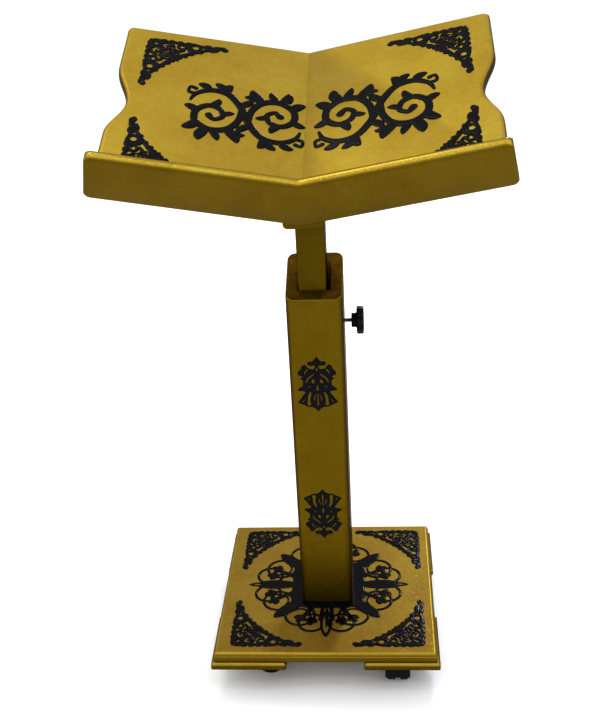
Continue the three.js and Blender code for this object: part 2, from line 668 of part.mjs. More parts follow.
function addBoardOrnaments(lectern, name, side) {
  const wing = group(lectern);
  wing.rotation.y = -side * VEE;
  const out = BOARD_WIDTH - BOARD_ORNAMENT_SIDE_INSET;
  const back = cornerOrnamentTowards(side, 1);
  const front = cornerOrnamentTowards(side, -1);
  const backUp = BOARD_DEPTH - BOARD_ORNAMENT_BACK_INSET;
  piece(wing, `board_ornament_rear_${name}`, back, blackRelief, side * out, backUp, GAP);
  piece(wing, `board_ornament_front_${name}`, front, blackRelief, side * out, BOARD_ORNAMENT_FRONT_INSET, GAP);
  const width = BOARD_WIDTH - SCROLL_INNER_MARGIN[name] - SCROLL_OUTER_MARGIN[name];
  const depth = BOARD_DEPTH - SCROLL_FRONT_MARGIN - SCROLL_BACK_MARGIN;
  const scroll = rod('z', 0.5, 0, RELIEF, 28).scale(width, depth, 1);
  const x = side * (SCROLL_INNER_MARGIN[name] + width / 2);
  piece(wing, `${name}_scroll_ornament`, scroll, blackRelief, x, SCROLL_FRONT_MARGIN + depth / 2, GAP);
}

// ---------------------------------------------------------------- the whole stand
const stand = new THREE.Group();
const parts = group(stand);
addBase(parts);
addColumn(parts);
addClamp(parts);
addLectern(parts);
addBaseOrnaments(parts);
addColumnOrnaments(parts);

// Put the origin at the bottom centre of everything.
stand.updateMatrixWorld(true);
const bounds = new THREE.Box3().setFromObject(stand, true);
const centre = bounds.getCenter(new THREE.Vector3());
parts.position.set(-centre.x, -centre.y, -bounds.min.z);

export default stand;
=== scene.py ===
"""A quran stand on casters: bronze-gold painted wood with raised black arabesque ornaments."""
import math

import bmesh
import bpy
import numpy as np
from bpy.props import FloatProperty, FloatVectorProperty, PointerProperty
from mathutils import Matrix, Vector


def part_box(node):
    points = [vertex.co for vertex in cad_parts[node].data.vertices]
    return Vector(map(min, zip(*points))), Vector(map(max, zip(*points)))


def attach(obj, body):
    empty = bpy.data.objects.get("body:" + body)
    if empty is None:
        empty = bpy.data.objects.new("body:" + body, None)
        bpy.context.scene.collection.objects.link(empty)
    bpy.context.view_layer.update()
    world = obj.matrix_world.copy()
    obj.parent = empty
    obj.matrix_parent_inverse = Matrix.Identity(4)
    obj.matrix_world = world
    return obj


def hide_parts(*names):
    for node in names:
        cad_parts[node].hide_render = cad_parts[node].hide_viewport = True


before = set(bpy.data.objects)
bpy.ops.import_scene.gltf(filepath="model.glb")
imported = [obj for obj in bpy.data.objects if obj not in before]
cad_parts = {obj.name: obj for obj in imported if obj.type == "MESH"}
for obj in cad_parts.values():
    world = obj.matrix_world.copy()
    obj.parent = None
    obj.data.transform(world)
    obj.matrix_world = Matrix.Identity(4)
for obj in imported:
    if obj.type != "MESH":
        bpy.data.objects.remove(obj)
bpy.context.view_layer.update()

bl_info = {
    "name": "Quran stand",
    "version": (1, 0, 0),
    "blender": (4, 5, 0),
    "location": "3D View > Sidebar > Quran Stand",
    "description": "Builds a quran stand with its ornaments, casters and sliding book rest",
    "category": "Object",
}

MM = 0.001
TILT = math.radians(22.5)   # the book rest leans back
VEE = math.radians(12.0)    # each board rises outwards from the valley
SEAM = 0.02                 # half the filled joint along the valley, mm
PAPER_GAP = 0.02            # between a surface and the underside of a raised ornament, mm
SIDES = (("left", -1), ("right", 1))
# each corner's name, its signs along x and y, and its caster's heading in degrees
CORNERS = (("front_left", -1, -1, 0.0), ("front_right", 1, -1, -90.0),
           ("rear_left", -1, 1, 90.0), ("rear_right", 1, 1, 180.0))
COLUMN_SCREWS = [f"column_screw_{end}_{side}" for end in ("front", "rear") for side, _ in SIDES]


def box_mm(name):
    """A CAD node's lowest and highest corners, in mm."""
    return tuple(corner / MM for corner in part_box(name))


BASE_LOW, BASE_HIGH = box_mm("base_plate")
COLUMN_Y = (BASE_LOW.y + BASE_HIGH.y) / 2
BASE_TOP = BASE_HIGH.z
BLOCK_LOW, BLOCK_HIGH = box_mm("front_left_corner_block")
COLUMN_LOW, COLUMN_HIGH = box_mm("column_front_panel")
STUD_LOW, STUD_HIGH = box_mm("clamp_stud")
CLAMP_Z = (STUD_LOW.z + STUD_HIGH.z) / 2

TILTED = Matrix.Rotation(TILT, 3, "X")


def valley_start():
    """The front end of the valley on the boards' upper surface, in mm."""
    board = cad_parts["right_board"].data
    points = [TILTED.transposed() @ (vertex.co / MM) for vertex in board.vertices]
    inner = [point for point in points if point.x < 0.25]
    front = min(point.y for point in inner)
    top = max(point.z for point in inner if point.y < front + 0.1)
    return TILTED @ Vector((0.0, front, top))


VALLEY = valley_start()


# ---------------------------------------------------------------- colours and nodes
def linear(code):
    """A linear RGB triple from an sRGB hex code."""
    parts = [int(code[at:at + 2], 16) / 255 for at in (0, 2, 4)]
    return tuple(part / 12.92 if part <= 0.04045 else ((part + 0.055) / 1.055) ** 2.4 for part in parts)


def rgba(colour):
    """An opaque colour from a hex code or a linear triple."""
    return (*(linear(colour) if isinstance(colour, str) else colour), 1.0)


def node(tree, kind, links=None, **settings):
    """Adds a shader node. Links are {socket: value, output or node}; settings are its own properties."""
    made = tree.nodes.new("ShaderNode" + kind)
    for name, value in settings.items():
        setattr(made, name, value)
    for socket, value in (links or {}).items():
        if isinstance(value, bpy.types.Node):
            value = next(output for output in value.outputs if output.enabled)
        if isinstance(value, bpy.types.NodeSocket):
            tree.links.new(value, made.inputs[socket])
        else:
            made.inputs[socket].default_value = value
    return made


def surface(name, patterns, ground, layers, rough=(), bumps=(), levels=None):
    """A material whose colour, roughness and bump follow patterns.

    patterns is {name: (size in mm, detail, roughness, stretch if any) of a noise, or a function of the tree
    and its texture coordinates}. A drive is (pattern, low, high, least, most): the pattern's low..high eased
    to least..most, or to 0..1. layers are (colour, blend, drives to multiply) over the ground colour, and one
    without a colour scales what is under it. rough holds drives to add up. bumps are (pattern, strength,
    distance in mm). levels are the shader's uniform values.
    """
    material = bpy.data.materials.new(name)
    material.use_nodes = True
    tree = material.node_tree
    tree.nodes.clear()
    place = node(tree, "TexCoord")
    sources = {}
    for key, pattern in patterns.items():
        if callable(pattern):
            sources[key] = pattern(tree, place)
            continue
        size, detail, roughness, *stretch = pattern
        vector = place.outputs["Object"]
        if stretch:
            vector = node(tree, "VectorMath", {0: vector, 1: stretch[0]}, operation="MULTIPLY")
        sources[key] = node(tree, "TexNoise", {"Vector": vector, "Scale": 1 / (size * MM), "Detail": detail,
                                               "Roughness": roughness})

    def combined(operation, drives):
        total = None
        for key, *span in drives:
            eased = node(tree, "MapRange", dict(enumerate([sources[key], *span])),
                         interpolation_type="SMOOTHSTEP")
            total = node(tree, "Math", {0: total, 1: eased}, operation=operation) if total else eased
        return total

    colour = rgba(ground)
    for tint, blend, *drives in layers:
        share = combined("MULTIPLY", drives)
        if tint is None:
            colour = node(tree, "VectorMath", {0: colour, 1: share}, operation=blend)
        else:
            colour = node(tree, "Mix", {0: share, 6: colour, 7: rgba(tint)}, data_type="RGBA",
                          blend_type=blend)
    links = {"Base Color": colour, **(levels or {})}
    if rough:
        links["Roughness"] = combined("ADD", rough)
    for key, strength, distance in bumps:
        under = {"Normal": links["Normal"]} if "Normal" in links else {}
        links["Normal"] = node(tree, "Bump", {"Height": sources[key], "Strength": strength,
                                              "Distance": distance * MM, **under})
    node(tree, "OutputMaterial", {"Surface": node(tree, "BsdfPrincipled", links)})
    return material


def upward(tree, place):
    """How far a face looks up."""
    return node(tree, "SeparateXYZ", {0: place.outputs["Normal"]}).outputs[2]


def sideways(tree, place):
    """How far a face looks left or right."""
    facing = node(tree, "SeparateXYZ", {0: place.outputs["Normal"]})
    return node(tree, "Math", {0: facing.outputs[0]}, operation="ABSOLUTE")


def flake(tree, place):
    """A random value for each metal flake. Real flake is under 0.1 mm; it is drawn at 1.1 mm, so that it
    shows."""
    cells = node(tree, "TexVoronoi", {"Vector": place.outputs["Object"], "Scale": 1 / (1.1 * MM)})
    return node(tree, "SeparateColor", {0: cells.outputs["Color"]})


def gold_paint(name, top, side, shade, metal=0.74, gloss=0.0):
    """Sprayed bronze-gold paint on sanded wood: satin and faintly grainy, lighter on upward faces as painted
    light and darker and browner on upright ones as painted shade, with painted glints on a fine metal flake."""
    rough = [("grain", 0.3, 0.7, 0.36, 0.48), ("flake", 0.86, 1.0, 0.0, -0.14)]
    if gloss:
        # Round tops are rubbed smooth by hands; a coarser coat has gloss below nought.
        rough.append(("up", 0.25, 0.7, 0.0, -gloss))
    layers = [
        # Upward faces take the top colour and upright ones the side colour: painted light and painted shade.
        (top, "MIX", ("up", 0.05, 0.8)),
        # Faces that look left or right are browned: painted shade on the flanks.
        ("2B1A02", "MIX", ("across", 0.35, 0.95, 0.0, 0.72)),
        (shade, "MULTIPLY", ("clouds", 0.35, 0.65, 0.0, 0.35)),
        (shade, "MULTIPLY", ("mottle", 0.35, 0.7, 0.0, 0.22)),
        (None, "MULTIPLY", ("grain", 0.3, 0.7, 0.91, 1.07)),
        # Pale gold screened onto the flake cells, strongest on upward faces: painted glints.
        ("E8D27A", "SCREEN", ("flake", 0.9, 1.0, 0.0, 0.10), ("up", 0.1, 0.8, 0.12, 1.0)),
    ]
    patterns = {"up": upward, "across": sideways, "flake": flake, "clouds": (90, 2.0, 0.5),
                "mottle": (14, 4.0, 0.6), "grain": (1.6, 3.0, 0.7), "peel": (4.5, 2.0, 0.5)}
    return surface(name, patterns, side, layers, rough,
                   [("peel", 0.2 - gloss * 0.6, 0.12), ("grain", 0.35 - gloss, 0.05)],
                   {"Metallic": metal, "Specular Tint": rgba("8E7A48")})


def black_relief():
    """Cast resin ornament in black gloss enamel: near black with a cold blue cast, beaded highlights."""
    return surface("black gloss enamel on cast resin", {"tone": (7, 3.0, 0.6), "fine": (1.4, 3.0, 0.6)},
                   "020203", [("08090F", "MIX", ("tone", 0.3, 0.75))], [("tone", 0.3, 0.7, 0.16, 0.3)],
                   [("tone", 0.7, 1.0), ("fine", 0.6, 0.25)],
                   {"Specular IOR Level": 0.0, "Coat Weight": 0.11, "Coat Roughness": 0.12})


def bare_wood():
    """Unpainted softwood offcut, sawn: pale straw with darker growth rings along its height."""
    patterns = {"rings": (5, 4.0, 0.5, (1.0, 1.0, 0.06)), "pores": (0.9, 3.0, 0.5, (1.0, 1.0, 0.1))}
    return surface("sawn bare pine", patterns, "8E6A3C", [("C7A06A", "MIX", ("rings", 0.35, 0.65))],
                   [("pores", 0.3, 0.7, 0.55, 0.8)], [("pores", 0.5, 0.15)])


def mouth_painted_shade():
    """Gold paint on the column's sawn mouth, dull and dark brown as painted shade under the book rest, with
    open pores.
    """
    return surface("gold paint soaked into end grain", {"pores": (1.2, 4.0, 0.7), "blotch": (12, 3.0, 0.5)},
                   "5A3E05", [("66500C", "MIX", ("blotch", 0.35, 0.65)),
                              ("3A2002", "MIX", ("pores", 0.45, 0.75, 0.0, 0.5))],
                   [("pores", 0.3, 0.7, 0.5, 0.75)], [("pores", 0.6, 0.2)],
                   {"Metallic": 0.9, "Specular Tint": rgba("A07020")})


def moulded_plastic(name, colour, worn, rough):
    """Injection-moulded nylon: dark, with the fine matt texture of a spark-eroded mould. The real texture is
    near 0.1 mm; it is drawn at 0.7 mm, so that it shows."""
    return surface(name, {"texture": (0.7, 2.0, 0.5), "scuff": (9, 5.0, 0.7)}, colour,
                   [(worn, "MIX", ("scuff", 0.5, 0.8))], [("scuff", 0.3, 0.8, rough, rough + 0.14)],
                   [("texture", 0.3, 0.05)], {"Specular IOR Level": 0.08})


def plated_metal(name, light, dark, rough, streak):
    """Rolled or turned metal with a thin plating: soft streaks along the work and small dull spots."""
    return surface(name, {"lines": (0.8, 2.0, 0.5, streak), "spots": (6, 4.0, 0.65)}, light,
                   [(dark, "MIX", ("spots", 0.35, 0.7))], [("lines", 0.3, 0.7, rough, rough + 0.15)],
                   [("lines", 0.25, 0.03)], {"Metallic": 1.0})


def floor_finish():
    """Matt white studio floor, barely mottled."""
    return surface("matt white floor", {"tone": (600, 2.0, 0.5)}, "FAFAFA",
                   [("F6F6F7", "MIX", ("tone", 0.3, 0.7))], levels={"Roughness": 0.9})


finishes = {}


def finish_named(kind):
    """The material of one kind, made on first use from the colours in the sidebar."""
    if kind in finishes:
        return finishes[kind]
    colours = bpy.context.scene.stand_colours
    # top is painted light on upward faces; side and upright are painted shade on upright faces.
    top, side, upright, shade = (tuple(getattr(colours, f"gold_{part}"))
                                 for part in ("top", "side", "upright", "shade"))
    # The base's flat top takes a darker copy of the upward-face colour: painted shade.
    base_shaded_top = [share * value for share, value in zip((0.62, 0.54, 0.6), top)]
    # The column's upright colour darkened further: painted shade under the book rest, used on the mast,
    # blocks and spine.
    mast_shaded_side = [0.65 * value for value in upright]
    along_z, along_x = (1.0, 1.0, 0.2), (0.2, 1.0, 1.0)
    maker, *settings = {
        "gold": (gold_paint, "bronze-gold spray paint", top, side, shade),
        "base gold": (gold_paint, "bronze-gold spray paint, darker on the base", base_shaded_top, side, shade,
                      0.7, -0.17),
        "ledge gold": (gold_paint, "bronze-gold spray paint, rubbed smooth on top", top, side, shade,
                       0.74, 0.27),
        "mast gold": (gold_paint, "bronze-gold spray paint on the mast", top, mast_shaded_side, shade, 0.9),
        "column gold": (gold_paint, "bronze-gold spray paint on uprights", top, upright, shade, 0.9),
        "relief": (black_relief,),
        "end grain": (mouth_painted_shade,),
        "wood": (bare_wood,),
        "plastic": (moulded_plastic, "black moulded nylon", "040404", "0D0D0E", 0.3),
        "tread": (moulded_plastic, "black wheel tread", "050505", "131211", 0.45),
        "zinc": (plated_metal, "zinc-plated steel", "C9CBCD", "9FA2A6", 0.26, along_z),
        "dull steel": (plated_metal, "dull oiled steel", "6A6A6C", "454547", 0.34, along_x),
        "brass": (plated_metal, "turned brass", "D9B25C", "A57F34", 0.24, along_x),
    }[kind]
    finishes[kind] = maker(*settings)
    return finishes[kind]


# ---------------------------------------------------------------- mesh helpers
SHARP = 38                  # edges above this angle are drawn sharp, degrees


def outward_mesh(name, points, faces):
    """A mesh from points in mm, with every face turned outwards."""
    mesh = bpy.data.meshes.new(name)
    mesh.from_pydata([tuple(c * MM for c in point) for point in points], [], faces)
    build = bmesh.new()
    build.from_mesh(mesh)
    bmesh.ops.recalc_face_normals(build, faces=build.faces)
    build.to_mesh(mesh)
    build.free()
    return mesh


def make_piece(name, points, faces, kind, body, nodes=(), slot="gold_paint", sharp=SHARP):
    """An object from points in mm, smooth up to sharp degrees, riding on a body for its CAD nodes."""
    mesh = outward_mesh(name, points, faces)
    mesh.shade_smooth()
    mesh.set_sharp_from_angle(angle=math.radians(sharp))
    mesh.materials.append(finish_named(kind))
    piece = bpy.data.objects.new(name, mesh)
    bpy.context.scene.collection.objects.link(piece)
    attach(piece, body)
    if nodes:
        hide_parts(*nodes)
    return piece


def loft(rings, joined=False):
    """Points and faces of a skin through rings of equal length, with capped ends or joined in a loop."""
    count = len(rings[0])
    points = [point for ring in rings for point in ring]
    faces = []
    last = len(rings) if joined else len(rings) - 1
    for level in range(last):
        low, high = level * count, (level + 1) % len(rings) * count
        for at in range(count):
            after = (at + 1) % count
            faces.append((low + at, low + after, high + after, high + at))
    if not joined:
        faces.append(tuple(range(count))[::-1])
        faces.append(tuple(range((len(rings) - 1) * count, len(rings) * count)))
    return points, faces


def merge(*parts):
    """One (points, faces) from several."""
    points, faces = [], []
    for more_points, more_faces in parts:
        start = len(points)
        points.extend(more_points)
        faces.extend(tuple(start + index for index in face) for face in more_faces)
    return points, faces


def spun(profile, steps, place, joined=False, radius_at=None):
    """A turned shape: profile is (radius, along) pairs; place(along, across, up) gives the point."""
    rings = []
    for entry in profile:
        radius, along = entry[0], entry[1]
        ring = []
        for step in range(steps):
            angle = 2 * math.pi * step / steps
            reach = radius_at(radius, angle, entry) if radius_at else radius
            ring.append(place(along, reach * math.cos(angle), reach * math.sin(angle)))
        rings.append(ring)
    return loft(rings, joined)


def rounded(corners, steps=5, inset=0.0):
    """A closed outline from (x, y, radius) corners, each rounded; inset moves every side inwards."""
    outline = []
    count = len(corners)
    if inset:
        moved = offset([corner[:2] for corner in corners], inset)
        corners = [(x, y, max(radius - inset, 0.05)) for (x, y), (_, _, radius) in zip(moved, corners)]
    for at, (x, y, radius) in enumerate(corners):
        here = Vector((x, y))
        before = (Vector(corners[at - 1][:2]) - here).normalized()
        after = (Vector(corners[(at + 1) % count][:2]) - here).normalized()
        if radius <= 0:
            outline.append((x, y))
            continue
        half = before.angle(after) / 2
        reach = radius / math.tan(half)
        centre = here + (before + after).normalized() * (radius / math.sin(half))
        start = here + before * reach - centre
        finish = here + after * reach - centre
        sweep = math.atan2(start.x * finish.y - start.y * finish.x, start.dot(finish))
        for step in range(steps + 1):
            turned = Matrix.Rotation(sweep * step / steps, 2) @ start + centre
            outline.append((turned.x, turned.y))
    return outline


def offset(outline, distance, hold=None):
    """The outline moved inwards; hold(point) says where the first coordinate stays put."""
    area = sum(a[0] * b[1] - b[0] * a[1] for a, b in zip(outline, outline[1:] + outline[:1]))
    turn = 1 if area > 0 else -1
    moved = []
    count = len(outline)
    for at, point in enumerate(outline):
        here = Vector(point)
        into = (here - Vector(outline[at - 1])).normalized()
        out = (Vector(outline[(at + 1) % count]) - here).normalized()
        normal = Vector((-into.y - out.y, into.x + out.x)) * turn
        normal.normalize()
        edge = Vector((-out.y, out.x)) * turn
        share = max(normal.dot(edge), 0.35)
        step = normal * (distance / share)
        if hold and hold(point):
            step = Vector((0.0, math.copysign(distance, step.y)))
        moved.append((point[0] + step.x, point[1] + step.y))
    return moved


def eased_levels(ease, steps=4):
    """(inset, depth) pairs of a rounded arris, from the face inwards to the side."""
    levels = [(ease + 1.2, 0.0)]
    for step in range(steps + 1):
        angle = math.pi / 2 * step / steps
        levels.append((ease * (1 - math.sin(angle)), ease * (1 - math.cos(angle))))
    return levels


def eased_bar(outline, low, high, ease, place):
    """A bar with rounded arrises. outline(inset) gives its outline; low and high are heights, or functions of
    a point."""
    def height(value, point):
        return value(point) if callable(value) else value

    rings = []
    levels = eased_levels(ease)
    for inset, depth in levels:
        rings.append([place(*point, height(low, point) + depth) for point in outline(inset)])
    for inset, depth in reversed(levels):
        rings.append([place(*point, height(high, point) - depth) for point in outline(inset)])
    return loft(rings)


def rectangle(x_low, x_high, y_low, y_high, radius, steps=5):
    """The outline of a rectangle with one corner radius, as a function of its inset."""
    ends = ((x_low, y_low), (x_high, y_low), (x_high, y_high), (x_low, y_high))
    corners = [(x, y, radius) for x, y in ends]
    return lambda inset=0.0: rounded(corners, steps, inset)


def square_moulding(centre_x, centre_y, half, profile, corner):
    """A square board whose edge follows profile, (inset, height) pairs from the underside up."""
    rings = []
    for inset, height in profile:
        side = half - inset
        ring = rectangle(-side, side, -side, side, corner, 4)()
        rings.append([(centre_x + x, centre_y + y, height) for x, y in ring])
    return loft(rings)


def cut_away(piece, points, faces):
    """Takes the shape given by points in mm out of a piece."""
    mesh = outward_mesh("cutter", points, faces)
    cutter = bpy.data.objects.new("cutter", mesh)
    bpy.context.scene.collection.objects.link(cutter)
    modifier = piece.modifiers.new("cut", "BOOLEAN")
    modifier.operation = "DIFFERENCE"
    modifier.solver = "EXACT"
    modifier.object = cutter
    bpy.context.view_layer.update()
    depsgraph = bpy.context.evaluated_depsgraph_get()
    result = bpy.data.meshes.new_from_object(piece.evaluated_get(depsgraph))
    piece.modifiers.remove(modifier)
    old, piece.data = piece.data, result
    bpy.data.meshes.remove(old)
    bpy.data.objects.remove(cutter)
    bpy.data.meshes.remove(mesh)
    result.set_sharp_from_angle(angle=math.radians(SHARP))


def cut_cross(piece, x, y, low, high, arm, half_width, place=lambda *point: point):
    """Cuts the cross recess of a screw head at (x, y), from height low to high."""
    for along_x, along_y in ((arm, half_width), (half_width, arm)):
        cross = rectangle(x - along_x, x + along_x, y - along_y, y + along_y, 0)()
        cut_away(piece, *loft([[place(*point, z) for point in cross] for z in (low, high)]))


# ---------------------------------------------------------------- raised ornaments
def curve(points, closed=False, step=0.7):
    """Points every step mm or so along a smooth curve through the given ones."""
    count = len(points)
    if count == 2 and not closed:
        spans = [(points[0], points[0], points[1], points[1])]
    else:
        wrap = (lambda i: points[i % count]) if closed else (lambda i: points[min(max(i, 0), count - 1)])
        spans = [[wrap(i + step) for step in (-1, 0, 1, 2)] for i in range(count if closed else count - 1)]
    line = []
    for before, start, finish, after in spans:
        before, start, finish, after = (np.array(value, float) for value in (before, start, finish, after))
        pieces = max(2, int(math.hypot(*(finish - start)[:2]) / step))
        for at in range(pieces):
            t = at / pieces
            line.append(0.5 * (2 * start + (finish - before) * t
                               + (2 * before - 5 * start + 4 * finish - after) * t * t
                               + (3 * start - before - 3 * finish + after) * t ** 3))
    if not closed:
        line.append(np.array(points[-1], float))
    return np.array(line)


def circle(x, y, radius, start=0.0, sweep=360.0):
    """Points round a circle or an arc, angles in degrees from +x."""
    count = max(8, int(abs(sweep) / 15))
    steps = count if abs(sweep) >= 360 else count + 1
    angles = [math.radians(start + sweep * at / count) for at in range(steps)]
    return [(x + radius * math.cos(angle), y + radius * math.sin(angle)) for angle in angles]


class Relief:
    """A raised drawing on a square grid: how far inside the drawing each grid point is, in mm."""

    def __init__(self, x_low, x_high, y_low, y_high, step=0.75):
        self.xs = np.arange(x_low - 2 * step, x_high + 3 * step, step)
        self.ys = np.arange(y_low - 2 * step, y_high + 3 * step, step)
        self.depth = np.full((len(self.ys), len(self.xs)), -9.0)
        self.step = step

    def window(self, x, y, reach):
        left, right = np.searchsorted(self.xs, (x - reach, x + reach))
        low, high = np.searchsorted(self.ys, (y - reach, y + reach))
        return slice(low, high), slice(left, right)

    def discs(self, line, sign):
        """Adds or takes away a disc at each (x, y, radius)."""
        for x, y, radius in line:
            rows, columns = self.window(x, y, radius + 2.5)
            part = self.depth[rows, columns]
            away = np.hypot(self.xs[columns][None, :] - x, self.ys[rows][:, None] - y)
            if sign > 0:
                np.maximum(part, radius - away, out=part)
            else:
                np.minimum(part, away - radius, out=part)

    def stroke(self, points, width, closed=False, sign=1):
        """A line of the drawing. width is one width or one for each point, in mm."""
        widths = width if isinstance(width, (list, tuple)) else [width] * len(points)
        self.discs(curve([(*p[:2], w / 2) for p, w in zip(points, widths)], closed), sign)

    def carve(self, points, width, closed=False):
        self.stroke(points, width, closed, sign=-1)

    def leaf(self, start, finish, width, bend=0.0, sign=1, fullest=0.45):
        """A leaf or drop pointed at both ends, widest at the fullest share of its length."""
        start, finish = np.array(start, float), np.array(finish, float)
        along = finish - start
        side = np.array((-along[1], along[0]))
        line = []
        steps = max(8, int(math.hypot(*along) / 0.6))
        for at in range(steps + 1):
            t = at / steps
            swell = t / fullest if t < fullest else (1 - t) / (1 - fullest)
            swell = math.sin(swell * math.pi / 2) ** 0.65
            middle = start + along * t + side * bend * 4 * t * (1 - t)
            line.append((middle[0], middle[1], max(0.35, width / 2 * swell)))
        self.discs(line, sign)

    def fill(self, points, smooth=True):
        """Adds the inside of a closed outline."""
        outline = curve(points, closed=True, step=1.5)[:, :2] if smooth else np.array(points, float)
        x, y = np.meshgrid(self.xs, self.ys)
        nearest = np.full(x.shape, 1e9)
        inside = np.zeros(x.shape, bool)
        for (ax, ay), (bx, by) in zip(outline, np.roll(outline, -1, axis=0)):
            length = (bx - ax) ** 2 + (by - ay) ** 2 + 1e-12
            t = np.clip(((x - ax) * (bx - ax) + (y - ay) * (by - ay)) / length, 0, 1)
            nearest = np.minimum(nearest, np.hypot(x - ax - t * (bx - ax), y - ay - t * (by - ay)))
            crosses = (ay > y) != (by > y)
            rise = by - ay if abs(by - ay) > 1e-12 else 1e-12
            inside ^= crosses & (x < (bx - ax) * (y - ay) / rise + ax)
        self.depth = np.maximum(self.depth, np.where(inside, nearest, -nearest))

    def skin(self, height, round_over, lip=0.3):
        """Points (x, y, height) and faces of the closed relief."""
        depth = np.where(np.abs(self.depth) < 1e-4, 1e-4, self.depth)
        rows, columns = depth.shape
        solid = depth > 0
        points = []
        # Grid points inside, then crossings along rows, then crossings along columns
        corner_index = np.full(depth.shape, -1)
        corner_index[solid] = np.arange(solid.sum())
        y_at, x_at = np.nonzero(solid)
        inner = np.minimum(depth[solid], round_over) / round_over
        heights = lip + (height - lip) * np.sqrt(1 - (1 - inner) ** 2)
        points.append(np.column_stack([self.xs[x_at], self.ys[y_at], heights]))
        count = len(y_at)
        edge_index = []
        for along_x in (True, False):
            a = depth[:, :-1] if along_x else depth[:-1, :]
            b = depth[:, 1:] if along_x else depth[1:, :]
            crossing = (a > 0) != (b > 0)
            index = np.full(depth.shape, -1)
            y_at, x_at = np.nonzero(crossing)
            index[y_at, x_at] = count + np.arange(len(y_at))
            share = a[y_at, x_at] / (a[y_at, x_at] - b[y_at, x_at]) * self.step
            shift = (share, 0 * share) if along_x else (0 * share, share)
            points.append(np.column_stack([self.xs[x_at] + shift[0], self.ys[y_at] + shift[1],
                                           np.full(len(y_at), lip)]))
            count += len(y_at)
            edge_index.append(index)
        row_edges, column_edges = edge_index
        cells = (solid[:-1, :-1] * 1 + solid[:-1, 1:] * 2 + solid[1:, 1:] * 4 + solid[1:, :-1] * 8)
        corners = [(0, 0), (0, 1), (1, 1), (1, 0)]
        edges = [(row_edges, 0, 0), (column_edges, 0, 1), (row_edges, 1, 0), (column_edges, 0, 0)]
        faces, rim = [], []
        for case in range(1, 16):
            y_at, x_at = np.nonzero(cells == case)
            if not len(y_at):
                continue
            ring, kinds = [], []
            for at in range(4):
                after = (at + 1) % 4
                down, right = corners[at]
                if case >> at & 1:
                    ring.append(corner_index[y_at + down, x_at + right])
                    kinds.append("corner")
                if (case >> at & 1) != (case >> after & 1):
                    index, down, right = edges[at]
                    ring.append(index[y_at + down, x_at + right])
                    kinds.append("edge")
            faces.extend(np.column_stack(ring).tolist())
            for at, kind in enumerate(kinds):
                after = (at + 1) % len(kinds)
                leaving = kind == "edge" and kinds[after] == "edge"
                if leaving:
                    rim.extend(zip(ring[at].tolist(), ring[after].tolist()))
        points = np.vstack(points)
        # The same outline again as a flat underside
        below = points.copy()
        below[:, 2] = 0.0
        total = len(points)
        faces.extend([[index + total for index in face][::-1] for face in faces])
        faces.extend([[b, a, a + total, b + total] for a, b in rim])
        return np.vstack([points, below]), faces


def polar(radius, degrees):
    angle = math.radians(degrees)
    return (radius * math.cos(angle), radius * math.sin(angle))


def corner_lace():
    """The corner ornament, with its corner at (0, 0) and its legs along x and y."""
    lace = Relief(-2, 116, -2, 116, 0.65)

    def both(points, width, draw=lace.stroke, **words):
        """Draws a line and its mirror image across the diagonal."""
        draw(points, width, **words)
        draw([(y, x) for x, y in points], width, **words)

    def leaves(start, finish, width, bend=0.0):
        lace.leaf(start, finish, width, bend)
        lace.leaf(start[::-1], finish[::-1], width, -bend)

    both([(8, 8), (17, 5.5), (27, 7), (37, 5), (48, 7), (58, 5.5), (66, 4.5), (76, 6.5), (88, 7.5),
          (99, 6.5), (106, 6.5)], [7, 6.4, 6.2, 6.2, 6.2, 6, 6, 5.6, 5.2, 4.6, 4])
    for x, y, size in ((13, 6, 8.5), (24.5, 5, 8.5), (35.5, 5, 8.5), (47, 5, 8.5), (58.5, 4.8, 8)):
        both([(x - 1, y), (x + 1, y)], size)
    both(circle(69, 12, 6.8), 5.6, closed=True)
    both([(74, 18), (66, 22.5), (60, 19), (59, 12), (53, 7.5), (46.5, 10), (45.5, 16), (50, 19.5),
          (54.5, 16.5), (52.5, 13)], [4.6, 5.4, 5.6, 5.6, 5.6, 5.6, 5.4, 5.2, 4.6, 5])
    both([(53, 22), (47, 26), (40, 22), (38, 14), (31, 8.5), (23, 11), (20, 18), (24, 25), (31, 26),
          (35, 20.5), (31.5, 16), (28, 18)],
         [5, 5.6, 5.8, 5.8, 5.8, 5.8, 5.8, 5.6, 5.2, 4.6, 4.6, 5])
    both([(106, 7.5), (94, 10), (84, 14.5), (75, 20), (67, 24.5), (60, 29.5), (53, 34), (48, 39),
          (44.5, 44.5)], [3.4, 5, 5.6, 6.2, 6.8, 7, 7, 7, 7])
    for x, y, size in ((64.5, 27.5, 8), (56, 34.5, 8.5), (76.5, 20.5, 7), (49.5, 40, 7.5)):
        both([(x, y - 0.5), (x, y + 0.5)], size)
    both([(46, 30), (42, 36), (35, 37), (32, 31), (37, 27.5), (41, 31)], [5, 5.2, 5.2, 5, 5, 5.2])
    both([(12, 8), (17, 11), (20, 17)], 5.4)
    lace.stroke(circle(14, 14, 6.2), 5.6, closed=True)
    lace.stroke(circle(25, 25, 5.4), 5.2, closed=True)
    lace.leaf((31, 31), (48.5, 48.5), 11)
    lace.stroke([(36, 36), (43, 43)], [5, 6])
    lace.stroke([(6.5, 6.5), (10, 10)], 6)
    leaves((81, 9), (101, 12), 9, 0.1)
    leaves((78, 8), (91, 3.2), 8)
    leaves((90, 7.5), (104, 2.6), 6.4)
    both([(104, 6.5), (108, 9.5), (112, 8.8), (112, 5.8), (109, 5.2)], [4, 4, 3.8, 3.6, 3.4])
    both([(99, 6), (104, 3.2), (109, 3.2)], [3.8, 4.2, 4.4])
    for x, y, size in ((37.5, 19.5, 2.8), (44, 33, 2.4), (69, 12, 7.6), (28.5, 32, 2.8), (51.5, 14.5, 3.6),
                       (27.5, 18.5, 3.4)):
        both([(x - 0.4, y), (x + 0.4, y)], size, lace.carve)
    return lace.skin(1.5, 2.1)


